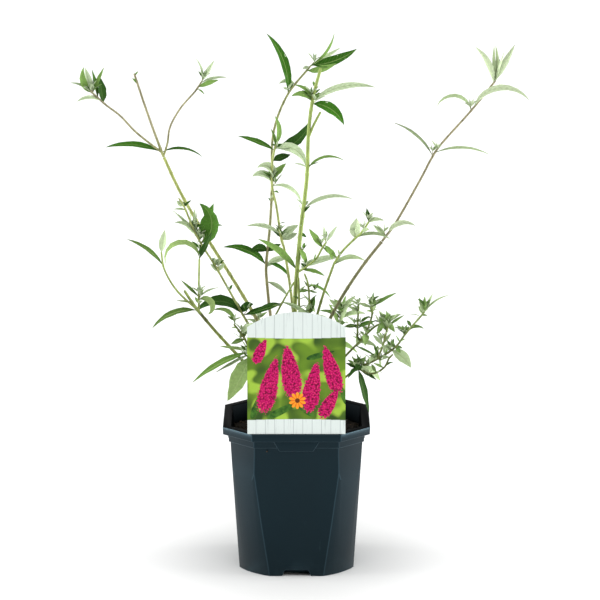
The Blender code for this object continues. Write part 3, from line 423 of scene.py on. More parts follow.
def bark_pattern():
    """Streaks, pores and relief that every bark on the shrub shares."""
    group, given = new_tree("Shader", "bark pattern", {"Cracks": 0.3}, ("Light", "Pores", "Height"))
    streaks = cloud(group, 520.0, 4.0, stretch=(1, 1, 0.10), roughness=0.62)
    patches = cloud(group, 45.0, 3.0)
    pores = fade(group, cloud(group, 900.0, 1.0, stretch=(1, 1, 0.45)), 0.70, 0.76)
    light = fade(group, plus(group, times(group, streaks, 0.6), times(group, patches, 0.4)), 0.36, 0.62)
    split = times(group, fade(group, streaks, 0.42, 0.30), given["Cracks"])
    height = minus(group, times(group, streaks, 0.5), split)
    pores = number(group, "MAXIMUM", pores, split)
    node(group, "NodeGroupOutput", {"Light": light, "Pores": pores, "Height": height})
    return group


def bark_material(name, tone, cracks, roughness):
    """Bark whose dark and light colours change from one height to another."""
    low_dark, low_light, high_dark, high_light = (thousandths(colour) for colour in tone[:4])
    low, high = tone[4:]
    made, tree = new_material(name, Specular_IOR_Level=0.15)
    pattern = node(tree, "ShaderNodeGroup", {"Cracks": cracks}, node_tree=bark_group).outputs
    up = fade(tree, axis(tree, here(tree), "Z"), low * MM, high * MM)
    dark = mix(tree, up, low_dark, high_dark)
    light = mix(tree, up, low_light, high_light)
    colour = mix(tree, pattern["Light"], dark, light)
    colour = mix(tree, pattern["Pores"], colour, shaded(low_dark, 0.45))
    rough = slope(tree, pattern["Light"], -0.12, roughness)
    return finish_surface(made, colour, rough, pattern["Height"], 0.25)


def bark_relief(tree, given, surface, stretch, detail, level):
    """Ends a tree: pushes a surface in and out by lengthwise ridges, and gives it its bark."""
    place = out(tree, "GeometryNodeInputPosition")
    normal = out(tree, "GeometryNodeInputNormal")
    drawn = out(tree, "ShaderNodeVectorMath", {0: place, 1: (1.0, 1.0, stretch)}, operation="MULTIPLY")
    ridge = out(tree, "ShaderNodeTexNoise", {"Vector": drawn, "Scale": given["Ridges"], "Detail": detail})
    push = scaled(tree, normal, times(tree, minus(tree, ridge, level), given["Relief"]))
    moved = out(tree, "GeometryNodeSetPosition", {"Geometry": surface, "Offset": push})
    smooth = out(tree, "GeometryNodeSetShadeSmooth", {"Geometry": moved})
    real = out(tree, "GeometryNodeRealizeInstances", {"Geometry": smooth})
    node(tree, "NodeGroupOutput", {0: dress(tree, real, given["Bark"])})


def knuckle_tree():
    """Roughens a whole surface into bark."""
    tree, given = geometry_tree("bark knuckle", Relief=FOOT_RELIEF * MM, Ridges=FOOT_RIDGES, Bark="Material")
    bark_relief(tree, given, given["Geometry"], stretch=0.22, detail=4.0, level=0.62)
    return tree


bark_group = bark_pattern()
foot = copy_of_solid("woody_foot", "stem_foot")
fine_blocks(foot, FOOT_VOXEL)
set_inputs(foot, knuckle_tree(), Bark=bark_material("foot_bark", FOOT_TONE, cracks=1.0, roughness=0.9))
settle(foot)
stand_in(foot, "stem_foot")


# The canes. Long young shoots with smooth thin bark, green where they are fresh and brown-grey
# where they are older, a little swollen at each pair of leaves. Each grows out of the woody foot.
CANE_RING = 1.0  # from one ring of corners to the next
LEAST_RINGS = 4
CANE_SIDES = 12
CANE_RELIEF = 0.25
CANE_RIDGES = 330.0
CANE_SINK = 5.0  # how far a cane's foot runs into the woody foot
CANE_STEPS = 8
CANE_FINER = 3
SWAY_SCALE = 2.6  # so that a sway is the distance at its widest
FINE_TWIG = 1.3  # added to half of a thin twig's thickness, where that makes it stouter
JOINT_SPACING = (24.0, 34.0)
JOINT_SWELL = 0.20
JOINT_LENGTH = 1.5
TIP_NARROWING = 0.45
BARK_SMOOTH = 50
STEM_TONES = {  # dark and light at the foot, dark and light at the top, in thousandths, and the heights
    "fresh": ((79, 99, 25), (154, 185, 46), (167, 220, 55), (290, 378, 106), 200, 380),
    "olive": ((84, 97, 31), (194, 216, 70), (202, 238, 75), (370, 422, 150), 180, 420),
    "tan": ((105, 102, 46), (230, 222, 104), (165, 190, 56), (335, 380, 120), 225, 300),
    "stub": ((165, 190, 60), (335, 380, 128), (150, 138, 80), (325, 305, 180), 400, 450),
    "brown": ((85, 76, 36), (205, 185, 90), (100, 110, 45), (245, 265, 110), 200, 480),
    "russet": ((57, 63, 26), (145, 154, 68), (135, 122, 68), (285, 258, 155), 240, 400),
    "dark": ((85, 105, 25), (220, 265, 65), (40, 44, 16), (120, 128, 48), 235, 290),
    "sage": ((45, 55, 12), (120, 140, 35), (120, 170, 45), (250, 330, 105), 190, 310),
}
Cane = namedtuple("Cane", "foot tip bow thick thin bark sway", defaults=((0, 0, 0),))
CANES = {  # foot, tip, bow in the middle, thickness at foot and tip, bark, and sway of a double bend
    "left_tall": Cane((-6, 3, 158), (-135.5, 38, 417), (9, 0, 0), 3.8, 3.2, "tan", (6, 0, 0)),
    "left_thin": Cane((-6, 1, 153), (-52, -9, 258), (3, 0, 2), 2.4, 2.2, "olive"),
    "left_low": Cane((-6, -1, 146), (-96, -51, 273), (4, 2, 0), 3.6, 3.2, "dark", (2, 0, 0)),
    "left_short": Cane((-3, -3, 150), (-44, -46, 228), (2, -5, 4), 2.4, 2.0, "fresh"),
    "brown": Cane((-4, 12, 160), (-30, 19, 286), (-4, 0, 0), 3.5, 3.2, "brown"),
    "olive": Cane((0, 7, 164), (-12, 2, 326), (4, 0, 0), 3.0, 2.8, "olive"),
    "main": Cane((1, 1, 164), (0, -11, 300), (-3, -1, 0), 5.0, 4.6, "fresh"),
    "centre_short": Cane((2, -2, 156), (10, -30, 250), (1, -3, 0), 2.4, 2.0, "fresh"),
    "right_middle": Cane((6, 0, 153), (36.5, -37, 318), (-7, -2, 0), 3.0, 2.6, "fresh"),
    "right_tall": Cane((6, 6, 158), (87.5, 33, 330), (-16, 0, 0), 3.8, 3.2, "russet"),
    "right_low": Cane((6, 0, 143), (60, -33, 211), (-2, 0, 4), 2.4, 2.0, "sage"),
    "right_short": Cane((6, 3, 148), (59, -21, 232), (-3, 4, 2), 2.4, 2.0, "sage"),
    "back_left": Cane((-3, 9, 146), (-26, 58, 206), (0, 2, 5), 2.4, 2.0, "olive"),
    "back_right": Cane((3, 9, 148), (30, 66, 212), (0, 2, 5), 2.4, 2.0, "sage"),
}


def cane_path(cane):
    """Points from a cane's foot to its tip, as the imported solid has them."""
    start, end, off, side = Vector(cane.foot), Vector(cane.tip), Vector(cane.bow), Vector(cane.sway)
    path = []
    for step in range(CANE_STEPS + 1):
        t = step / CANE_STEPS
        arch = 4 * t * (1 - t)
        path.append(start.lerp(end, t) + off * arch + side * (arch * (1 - 2 * t) * SWAY_SCALE))
    return path


def smooth_path(points, steps):
    """A smooth curve through all the points, with a few steps from each to the next."""
    ends = [points[0] * 2 - points[1], *points, points[-1] * 2 - points[-2]]
    path = [points[0]]
    for before, first, second, after in zip(ends, ends[1:], ends[2:], ends[3:]):
        for step in range(1, steps + 1):
            t = step / steps
            bend = before * 2 - first * 5 + second * 4 - after
            twist = first * 3 - before - second * 3 + after
            path.append(0.5 * (first * 2 + (second - before) * t + bend * t ** 2 + twist * t ** 3))
    return path


def lengths_of(path):
    return [(b - a).length for a, b in zip(path, path[1:])]


def along(path, share):
    """The place at a share of a path's length."""
    lengths = lengths_of(path)
    left = share * sum(lengths)
    for a, b, length in zip(path, path[1:], lengths):
        if left <= length or b is path[-1]:
            break
        left -= length
    return a.lerp(b, min(left / length, 1.0))


def stouter(thickness):
    """A thin twig with its down and the stubs of its leaves, which make it look a little thicker."""
    return max(thickness, thickness / 2 + FINE_TWIG)


def limb_points(path, thick, thin, joints, spacing, taper_end=0.0):
    """Closely set (place, radius) points along a path, swollen at the joints, all in millimetres."""
    length = sum(lengths_of(path))
    count = max(LEAST_RINGS, round(length / spacing))
    points = []
    for i in range(count + 1):
        share = i / count
        swell = sum(math.exp(-(((share - joint) * length) / JOINT_LENGTH) ** 2) for joint in joints)
        radius = (thick + (thin - thick) * share) / 2 * (1 + JOINT_SWELL * min(swell, 1.0))
        if taper_end and share > 1 - taper_end:
            radius *= 1 - TIP_NARROWING * ((share - 1 + taper_end) / taper_end) ** 2
        points.append((along(path, share), radius))
    return points


def limb_tree():
    """Wraps bark round open paths: a tube of each point's own radius, roughened by fine ridges."""
    tree, given = geometry_tree(
        "bark limb", Sides=CANE_SIDES, Relief=CANE_RELIEF * MM, Ridges=CANE_RIDGES, Bark="Material")
    curve = out(tree, "GeometryNodeMeshToCurve", {"Mesh": given["Geometry"]})
    radius = out(tree, "GeometryNodeInputNamedAttribute", {"Name": "thickness"}, data_type="FLOAT")
    ring = out(tree, "GeometryNodeCurvePrimitiveCircle", {"Resolution": given["Sides"], "Radius": 1.0})
    wrapped = {"Curve": curve, "Profile Curve": ring, "Scale": radius, "Fill Caps": True}
    tube = out(tree, "GeometryNodeCurveToMesh", wrapped)
    bark_relief(tree, given, tube, stretch=0.30, detail=3.0, level=0.5)
    return tree


def limb_object(name, limbs, bark, **finer):
    """One mesh of barked tubes round open paths."""
    verts, edges, radii = [], [], []
    for points in limbs:
        start = len(verts)
        for place, radius in points:
            verts.append(place * MM)
            radii.append(radius * MM)
        edges += [(i, i + 1) for i in range(start, len(verts) - 1)]
    mesh = bpy.data.meshes.new(name)
    mesh.from_pydata(verts, edges, [])
    mesh.attributes.new("thickness", "FLOAT", "POINT").data.foreach_set("value", radii)
    made = new_object(name, mesh)
    set_inputs(made, bark_limb, Bark=bark, **finer)
    settle(made, BARK_SMOOTH)
    return made


stem_barks = {}
for tone, values in STEM_TONES.items():
    stem_barks[tone] = bark_material("bark_" + tone, values, cracks=0.25, roughness=0.58)
bark_limb = limb_tree()
for name, cane in CANES.items():
    rng = random.Random("cane_" + name)
    path = smooth_path(cane_path(cane), CANE_FINER)
    path.insert(0, path[0] + (path[0] - path[1]).normalized() * CANE_SINK)
    length = sum(lengths_of(path))
    joints = []
    reached = rng.uniform(*JOINT_SPACING)
    while reached < length:
        joints.append(reached / length)
        reached += rng.uniform(*JOINT_SPACING)
    limb = limb_points(path, stouter(cane.thick), stouter(cane.thin), joints, CANE_RING)
    piece = limb_object("cane_bark_" + name, [limb], stem_barks[cane.bark])
    stand_in(piece, "cane_" + name)


# The leaves and twigs. Each cane ends in a leafy spray: opposite pairs of lance-shaped leaves on
# green twigs, dark and veined above and pale felt beneath, with short shoots in their angles.
SPRAYS = {  # cane, bark of twigs, leaf tone, share of leaves with a side shoot and of steps with a pair
    "left_tall": ("left_tall", "stub", "mid", 0.3, 0.0),
    "left_middle": ("left_thin", "olive", "deep", 0.8, 0.3),
    "left_low": ("left_low", "fresh", "soft", 0.5, 0.1),
    "left_foot": ("left_short", "fresh", "soft", 0.8, 0.6),
    "brown": ("brown", "brown", "mid", 0.5, 0.0),
    "olive": ("olive", "olive", "mid", 0.6, 0.1),
    "main": ("main", "fresh", "mid", 0.5, 0.1),
    "centre_foot": ("centre_short", "fresh", "sage", 0.9, 0.9),
    "right_middle": ("right_middle", "fresh", "pale", 0.8, 0.1),
    "right_tall": ("right_tall", "russet", "pale", 0.3, 0.0),
    "right_low": ("right_low", "sage", "sage", 0.9, 0.5),
    "right_foot": ("right_short", "sage", "sage", 1.0, 0.9),
    "back_left": ("back_left", "olive", "soft", 0.9, 0.9),
    "back_right": ("back_right", "sage", "sage", 0.9, 0.9),
}
# A leaf grows at a share of its twig, towards a bearing that is 0 to the right and 90 to the back. It
# starts at its rise and bends down by its droop, and its face is the turn about its own line. A
# tuft is its number of pairs, and the length and width of their leaves.
Leaf = namedtuple("Leaf", "at bearing rise droop length width face look", defaults=("",))
Shoot = namedtuple("Shoot", "at route thick thin leaves tuft", defaults=((), None))
SHOOTS = {  # each spray's own twig, then its side twigs. A leaf's word is its look, where it has its own
    "left_tall": Shoot(0, [(-151.5, 46, 459), (-166, 55, 501)], 3, 2.4, [
        (0.06, 180, 26, 43, 60, 8, 37), (0.06, 5, 26, 68, 45, 4, 36), (0.88, 200, 55, 20, 8, 3, 68),
        (0.97, 20, 60, 20, 6, 3, 20)]),
    "left_tall/0": Shoot(0.06, [(-149, 37, 431), (-165, 34, 445), (-179, 30, 461), (-194, 24, 474),
        (-209, 18, 489)], 2, 1.4, [
        (0.8, 178, 81, 0, 28, 10, 48, "dark"), (0.88, 165, 78, 0, 30, 6, 20),
        (0.96, 10, 65, 0, 29, 5, 41, "soft"), (0.97, 172, 76, 2, 26, 7, -88, "felt"),
        (0.96, 184, 28, -90, 31, 8, 57, "soft"), (0.92, 192, 53, 49, 30, 4, 50, "felt"),
        (0.82, 205, 40, 74, 30, 5, 44, "felt")]),
    "left_tall/1": Shoot(0.01, [(-132, 41, 431), (-129, 45, 448), (-118.5, 51, 466), (-104, 57, 482),
        (-97, 61, 492)], 1.8, 1.3, [
        (1, 175, 101, 51, 25, 3, 41, "felt"), (1, -10, 59, 0, 26, 5, 71, "felt"),
        (0.98, 10, 26, 32, 28, 4, 39, "felt"), (0.92, -8, 21, 2, 23, 6, 52, "soft"),
        (0.9, -35, -28, 5, 11, 4, -3)]),
    "left_middle": Shoot(0, [(-80, -20, 312), (-95, -25, 338), (-103, -28, 354), (-113, -32, 380),
        (-118, -34, 388)], 2.2, 1.2, [
        (0.03, 184, 62, 112, 56, 14, 38, "dark"), (0.05, 0, 72, 70, 16, 11, 35, "dark"),
        (0.03, -8, 18, 0, 42, 8, 40), (0.44, 172, 73, 5, 10, 6, 34, "soft"),
        (0.4, 200, 48, 10, 12, 6, 61, "felt"), (0.4, 0, 58, 10, 11, 5, -70, "felt"),
        (0.7, 176, 50, 0, 29, 5, -81, "felt"), (0.7, 190, 71, 77, 29, 6, 49, "felt"),
        (0.74, 168, 43, 2, 31, 3, 19, "felt"), (0.64, -8, 30, -124, 50, 17, 76, "soft"),
        (0.66, 14, 72, 82, 31, 7, 27, "soft"), (0.62, 190, -80, 0, 12, 6, 39, "dark"),
        (0.67, 0, 68, 5, 20, 9, -67, "soft"), (0.72, 120, 88, 5, 25, 5, 60, "felt"),
        (0.8, 250, 76, 10, 17, 5, 58, "felt"), (0.9, 185, 20, 30, 12, 3, 39, "felt"),
        (0.66, 6, 66, -6, 41, 13, -60, "soft"), (0.72, 60, 80, -5, 22, 5, -58),
        (0.93, 184, 35, 0, 9, 7, -70, "felt")]),
    "left_low": Shoot(0, [(-104, -55, 285), (-112, -60, 299)], 3.4, 2.8, [
        (0.16, 178, 7, 60, 53, 8, 36), (0.5, 190, 9, 0, 16, 3, 33, "felt")]),
    "left_low/0": Shoot(0.16, [(-119, -62, 299), (-131, -70, 322), (-134, -76, 342)], 1.8, 1.2, [
        (0.79, 178, 57, 41, 47, 6, 33), (0.98, 4, 81, 0, 24, 8, -68, "felt")]),
    "left_low/1": Shoot(0.1, [(-98, -47, 300), (-97.5, -38, 327)], 1.8, 1.3, [
        (0.99, 180, 90, 200, 60, 7, 38, "soft"), (1, 5, 63, -3, 31, 7, 44, "dark"),
        (0.28, 182, 44, 0, 25, 4, 41, "green"), (0.26, 6, 48, 43, 23, 3, 28, "felt"),
        (0.22, -10, 38, 192, 29, 7, -88, "soft")]),
    "left_foot": Shoot(0, [(-51, -46, 244), (-57, -48, 254), (-63, -49, 262)], 2, 1.4, [
        (0.96, 182, 94, 116, 32, 6, 37), (0.54, 10, 79, 2, 11, 6, 35), (0.5, 176, -20, 0, 15, 7, 38),
        (0.18, 174, 8, 2, 31, 5, 27, "soft"), (0.15, 188, -14, 27, 67, 9, 29, "green"),
        (0.1, 190, -27, 0, 41, 5, 23, "felt"), (0.06, 195, -64, -12, 53, 21, -88, "soft"),
        (0.7, -10, 44, 20, 20, 7, 48, "felt"), (0.1, 285, 5, 40, 26, 8, 10)]),
    "left_foot/0": Shoot(0.04, [(-24, -40, 264), (-12, -38, 286), (-2, -36, 303)], 1.7, 1.2, [
        (0.7, 176, 4, 51, 32, 4, 34, "dark")]),
    "brown": Shoot(0, [(-31, 22, 308), (-27, 32, 350), (-25, 42, 390), (-24, 51, 438), (-10, 58, 477),
        (15, 65, 508)], 3.2, 1.8, [
        (0.02, 0, -14, 45, 28, 5, -80), (0.09, 180, 54, 62, 51, 10, 36),
        (0.15, 200, 46, 83, 20, 9, -82, "dark"), (0.15, 8, 28, 0, 16, 8, 33),
        (0.08, 0, 55, 70, 28, 7, -82, "felt"), (0.1, -12, 0, 62, 30, 6, 25), (0.36, 88, 25, 70, 26, 7, 0),
        (0.84, 180, 95, 49, 69, 10, 56), (0.89, 180, 49, 92, 18, 5, -76, "felt"),
        (0.99, 200, -6, 10, 8, 5, 35, "felt"), (1, 5, 26, -57, 43, 4, 38, "soft"),
        (0.99, 18, 29, 1, 39, 5, -88, "felt"), (1, -10, 3, -36, 52, 12, 53),
        (0.97, -16, -2, -35, 34, 8, 54, "soft")]),
    "olive": Shoot(0, [(-16, 0, 343), (-20, -3, 372), (-25, -6, 398), (-24, -8, 422), (-21, -10, 438)],
        2.7, 1.8, [
        (0.16, 180, 44, 60, 38, 5, -78, "felt"), (0.13, 165, 46, 5, 16, 6, 20),
        (0.14, 0, 35, 0, 22, 10, 42, "felt"), (0.11, -20, 26, 0, 19, 8, -65, "felt"),
        (0.67, 180, 127, 171, 29, 10, 45, "felt"), (0.65, 190, 76, 114, 25, 9, 46, "felt"),
        (0.68, 12, 47, 0, 22, 10, 29, "soft"), (0.62, -5, 16, 97, 40, 6, 31, "felt"),
        (0.95, 178, 31, 20, 40, 7, 38), (0.85, 18, 16, 0, 20, 10, 33, "dark"),
        (0.96, -10, 30, 114, 42, 10, -86, "felt"), (0.97, 16, -6, -84, 50, 15, 28, "dark"),
        (1, 176, 117, 57, 31, 6, 51, "soft"), (0.99, 175, 88, 24, 18, 4, 41, "soft")]),
    "main": Shoot(0, [(4, -18, 349), (9, -24, 392), (11, -28, 416), (12, -34, 452), (16, -40, 488),
        (24, -46, 521)], 4.6, 3.2, [
        (0.04, 182, 56, 33, 53, 9, 42, "soft"), (0.15, -15, -62, 5, 20, 8, 22, "soft"),
        (0.22, 20, -35, 0, 8, 4, 62), (0.33, 0, 46, 68, 55, 6, 34, "felt"),
        (0.52, 0, 62, 96, 43, 4, 35, "soft"), (0.84, 12, 39, 57, 69, 7, -84, "felt"),
        (0.83, -12, 4, 72, 41, 12, 46), (0.85, 178, 72, 68, 25, 5, 40, "soft"),
        (0.84, 195, 62, 92, 25, 7, 51, "soft")]),
    "main/0": Shoot(0.67, [(17, -36, 462), (24, -38, 476)], 2.8, 2.4),
    "main/1": Shoot(0.03, [(10, -20, 315), (20, -32, 326), (26, -42, 339), (30, -48, 346)], 1.8, 1.2, [
        (0.84, 180, 50, -10, 24, 8, 43, "soft"), (0.84, 5, -22, 30, 18, 7, 46, "soft"),
        (0.22, 4, 35, 40, 38, 7, -85, "felt"), (0.12, -20, 4, 30, 26, 6, 26, "soft"),
        (1, 0, 57, 0, 20, 5, 43, "felt"), (0.98, 120, 80, 8, 17, 4, 58, "felt"),
        (0.92, -10, -43, 40, 18, 6, 32, "soft")]),
    "centre_foot": Shoot(0, [(13, -31, 268), (13, -30, 284), (11.5, -30, 300), (8, -30, 310)], 1.9, 1.3, [
        (0.8, 0, -4, 58, 29, 4, 36), (0.3, 8, 72, 0, 19, 10, 36), (0.22, 176, 45, 10, 14, 7, 32, "felt"),
        (0.7, 184, 0, 20, 10, 5, 30), (0.3, 205, 40, 70, 16, 6, 37, "felt"),
        (0.7, 20, -30, -32, 10, 3, 38), (0.5, -20, -60, 0, 12, 6, 12, "felt"),
        (0.2, -20, 30, 50, 24, 6, -80, "felt"), (0.25, 190, 50, 40, 34, 5, -67)]),
    "centre_foot/0": Shoot(0.03, [(3.5, -26, 269), (2.5, -28, 293), (2, -30, 306)], 2.6, 2),
    "right_middle": Shoot(0, [(46, -45, 336), (56, -52, 348), (65, -58, 358), (72, -64, 370)], 2.4, 1.5, [
        (0.02, 0, 49, 82, 36, 7, 33), (0.62, 20, 85, 0, 21, 12, -88), (0.63, -4, 33, 69, 38, 5, 34),
        (0.78, -60, 35, 30, 16, 5, 77), (1, 178, 80, 0, 14, 5, 55, "dark"), (1, 0, 41, 10, 8, 4, -73),
        (0.97, -20, 42, 60, 18, 5, 40)]),
    "right_tall": Shoot(0, [(103, 40, 350), (127, 54, 390), (139, 60, 412), (150, 66, 427), (180, 76, 459),
        (206, 88, 489)], 2.8, 1.8, [
        (0.03, 178, 44, 0, 18, 6, 42), (0.05, -5, 68, 103, 34, 6, -77), (0.5, 178, 63, 46, 56, 4, 41),
        (0.52, 2, 23, 52, 60, 4, 36), (0.8, 180, 81, 149, 48, 5, 42), (0.82, -4, 69, 123, 71, 7, -74),
        (0.98, 178, 87, 48, 44, 7, -65), (0.99, 100, 84, 0, 38, 5, 56), (0.99, 0, 72, -35, 39, 5, 51),
        (1, -10, 80, 0, 23, 3, 65), (1, -30, 73, 0, 32, 4, -10), (1, 8, 62, 0, 42, 7, -88)]),
    "right_low": Shoot(0, [(84, -44, 226), (100, -54, 240), (110, -62, 256), (128, -72, 280)], 2, 1.2, [
        (0.03, -10, -77, -2, 48, 9, 34, "dark"), (0.02, 176, 25, 0, 13, 6, 27, "dark"),
        (0.03, 170, 62, 0, 14, 4, 27, "green"), (0.04, 30, 80, 0, 13, 4, -10),
        (0.1, 5, -35, 20, 24, 8, 47, "felt"), (0.03, -20, -29, 0, 23, 7, 16, "dark"),
        (0.06, 200, -20, 40, 18, 7, 11, "dark"), (0.08, 255, 20, 40, 24, 9, 10, "dark"),
        (0.16, 60, 20, 40, 30, 8, 0, "felt"), (0.24, 250, 30, 50, 22, 7, 10, "felt"),
        (0.44, -15, -18, 43, 27, 12, -88, "felt"), (0.44, 200, 40, 30, 12, 6, 52, "felt"),
        (0.27, 0, -60, 40, 10, 3, 53, "felt"), (0.5, 176, 50, 0, 8, 4, 35),
        (0.5, 185, 10, 0, 8, 4, 32, "felt"), (0.51, 0, -15, 0, 7, 4, 31),
        (0.5, 0, -50, 0, 8, 6, 41, "green"), (0.66, 10, 78, 5, 12, 6, 24), (0.72, -5, 58, 95, 19, 5, 32),
        (0.68, 180, 40, 5, 10, 4, 10), (0.98, 178, 74, 0, 17, 5, 53, "felt"), (1, 0, 90, 0, 16, 5, 54),
        (1, 12, 66, 0, 20, 5, 22, "felt"), (0.97, 200, 60, 0, 10, 4, 84, "felt"),
        (0.95, 0, 0, 0, 6, 3, 30), (1, 0, 57, 43, 30, 3, 31, "felt")]),
    "right_low/0": Shoot(0.26, [(87, -52, 241), (92, -52, 261)], 1.7, 1.2, [
        (1, 0, 34, 0, 20, 4, 32), (0.86, 178, 63, 0, 17, 6, 46), (1, 178, 84, 0, 16, 5, 56),
        (0.48, 195, 48, 0, 16, 5, -53), (0.52, 4, 53, 0, 14, 5, 34, "felt"),
        (0.1, 176, 66, 0, 13, 5, 43, "green")]),
    "right_low/1": Shoot(0.02, [(76, -50, 211), (88, -54, 218), (93, -56, 228), (97, -58, 233)], 1.4, 1.1),
    "right_foot": Shoot(0, [(68, -26, 243), (80, -32, 256), (91, -40, 262)], 2, 1.4, [
        (0.14, -20, 10, 40, 20, 7, 22, "felt"), (0.12, 0, 8, 0, 13, 3, 28),
        (0.03, -20, -22, 0, 24, 4, 15, "green"), (0.4, 265, 0, 40, 22, 7, 10, "soft"),
        (0.95, -4, 32, 5, 19, 6, 36, "felt"), (0.95, 170, 66, 5, 14, 6, 34, "felt"),
        (0.9, 240, -20, 30, 16, 6, 54, "green"),
        (0.98, -50, -10, 40, 16, 6, 54, "soft")], tuft=(2, 13, 6)),
    "right_foot/0": Shoot(0.1, [(62, -26, 256), (63, -27, 276)], 1.6, 1.2, [
        (0.47, -10, 18, 0, 19, 6, 39), (0.47, 172, -3, 0, 14, 6, 34),
        (0.85, 190, 29, 0, 12, 5, 44, "felt"), (1, 178, 50, 40, 12, 3, 40, "felt")]),
    "right_foot/1": Shoot(0.36, [(76, -34, 266), (76, -38, 278)], 1.6, 1.2, [
        (0.95, 176, 18, 0, 16, 5, 30, "felt"), (0.97, 0, 36, 11, 30, 5, 35),
        (1, -60, 86, 0, 11, 9, -60, "green"), (0.8, -20, 73, 0, 11, 9, -32)], tuft=(1, 12, 5)),
    "back_left": Shoot(0, [(-36, 74, 222), (-40, 86, 238)], 2, 1.2, [
        (0.1, 190, 10, 50, 20, 9, 23), (0.1, 20, 20, 50, 24, 8, 10), (0.45, 110, 30, 60, 36, 8, 0),
        (0.45, 290, 40, 50, 26, 7, 0), (0.75, 160, 50, 50, 18, 7, 12, "felt"),
        (0.75, 20, 40, 50, 22, 7, 18)], tuft=(2, 13, 6)),
    "back_right": Shoot(0, [(43, 82, 226), (49, 96, 246)], 2, 1.2, [
        (0.1, 160, 20, 50, 30, 9, 10, "green"), (0.1, -20, 10, 50, 36, 9, 17, "soft"),
        (0.45, 70, 30, 60, 38, 8, 0), (0.45, 250, 40, 50, 26, 7, 0),
        (0.75, 160, 40, 50, 26, 7, 18, "green"), (0.75, -20, 40, 50, 30, 7, 38, "felt"),
        (0.9, 178, 55, 20, 20, 6, -76), (0.92, 4, 60, 20, 22, 6, -80),
        (0.6, 182, 70, 10, 26, 5, -62, "soft"), (0.6, -6, 70, 10, 24, 5, 54, "felt")], tuft=(3, 18, 6)),
}
GAP = 0.3  # between the tip of a cane and its spray, as in the solids
STEM_LEAD_IN = 4.0
STEM_STEPS = 3  # in the solids, whose leaves sit on that path
TWIG_RING = 1.1
TWIG_SIDES = 8
TWIG_RELIEF = 0.15
TWIG_RIDGES = 400.0
TWIG_FINER = 9
TWIG_END = 0.02
JOINT_SHARES = (0.05, 0.96)  # no swollen joint comes nearer to a twig's ends
LONG_BLADE = ((0.0, 0.02), (0.05, 0.05), (0.11, 0.17), (0.18, 0.32), (0.27, 0.43), (0.39, 0.49), (0.51, 0.50),
              (0.63, 0.43), (0.75, 0.32), (0.86, 0.20), (0.94, 0.09))  # along, and half the width there
SHORT_BLADE = ((0.0, 0.04), (0.12, 0.18), (0.32, 0.45), (0.55, 0.47), (0.78, 0.28), (0.93, 0.10))
LONG_COLUMNS = (-1.0, -0.55, 0.0, 0.55, 1.0)
SHORT_COLUMNS = (-1.0, 0.0, 1.0)
LONG_FROM = 16.0
LEAF_FOLD = 0.28
FOLD_CURVE = 1.3
LEAF_SMOOTH = 62
LEAST_BEND = 0.02
BLADE_THICK = 0.32
EDGE_THINNING = 0.6  # the share of its thickness that a blade loses towards its edge
EDGE_WAVE = 0.09
EDGE_WAVES = (2.0, 3.4)
OTHER_EDGE_LATER = 1.9
STALK_SHARE = 0.12
STALK_THICK = 0.9
STALK_HALF = 0.45
NUDGES = (0, 8, -8, 16, -16, 26, -26, 38, -38)  # turns that a solid tries for a leaf, to keep it clear
TIP_FOUND = 0.12  # how near a solid's corner lies to the tip of a leaf that it has
TUFT_SPACING = 0.035
TUFT_LOWEST_RISE = 30
TUFT_RISE_STEP = 22
TUFT_SHRINK = 0.16
TUFT_MOST_DROOP = 35
TUFT_MOST_FACE = 25
TUFT_STRAY = 14
TUFT_RISE_STRAY = 8
TUFT_LENGTHS = (0.85, 1.15)
TUFT_AGES = (0.1, 1.0)
SHOOTS_FROM = 9.0  # shorter leaves have no side shoot
SHOOT_STEEPER = (18, 38)
SHOOT_STEEPEST = 86.0
SHOOT_STRAY = 35
SHOOT_LENGTHS = (2.5, 6.5)
SHOOT_PAIRS = ((0, 0), (0, 180), (1, 90), (1, 270))  # pair, bearing
SHOOT_LEAF = ((38, 66), (-10, 45), (6.0, 12.0), (2.2, 3.8), (20, 60))  # rise, droop, length, width, face
SHOOT_LEAF_STRAY = 20
SHOOT_LEAST_LEAVES = 3
SHOOT_THICKNESS = (1.0, 0.7)
SHOOT_RING = 1.5
SHOOT_AGES = (-0.3, 1.0)
UPPER_STEEPER = 12
UPPER_SHORTER = 1.5
SMALL_STEP = 7.0
SMALL_LENGTHS = (7.5, 14.0)
SMALL_LEAF = ((20, 62), (-5, 60), (0.85, 1.1), (0.24, 0.32), (20, 55))  # length and width as shares
SMALL_AGES = (-0.5, 1.0)
STALK_SHADE_HEIGHTS = (280, 420)  # painted shade at the leaves' stalks, full below the first height and about a third as strong above the second
VEINS_LONG = 12.0  # veins along a leaf, and how far they slant forward
VEIN_SLANT = 1.3
DARK_GREEN = (0.020, 0.064, 0.008)
LEAF_TONES = {  # upper side, upper side when young, underside, stalk and midrib, in thousandths
    "deep": ((22, 84, 6), (65, 172, 22), (420, 525, 305), (190, 300, 90)),
    "mid": ((38, 142, 10), (165, 290, 70), (475, 580, 365), (230, 350, 100)),
    "soft": ((102, 200, 36), (245, 355, 120), (450, 555, 335), (320, 430, 170)),
    "sage": ((90, 200, 36), (240, 365, 120), (415, 530, 290), (300, 425, 160)),
    "pale": ((375, 485, 260), (465, 570, 330), (525, 625, 400), (490, 590, 320)),
}
LOOK_AGES = {"soft": 1.0, "dark": -1.0}  # 1 is young, 0 is grown, -1 is dark green all over
BOTH_GREEN = ("green", "soft", "dark")  # looks that have the upper side on both faces, as felt has the other
GROWN_UP_TO = 0.6  # the share of a twig below which leaves of GROWN_LENGTH are grown
GROWN_LENGTH = 26
GROWN_SPREAD = 60
Spray = namedtuple("Spray", "twigs verts faces finish flat young shade")


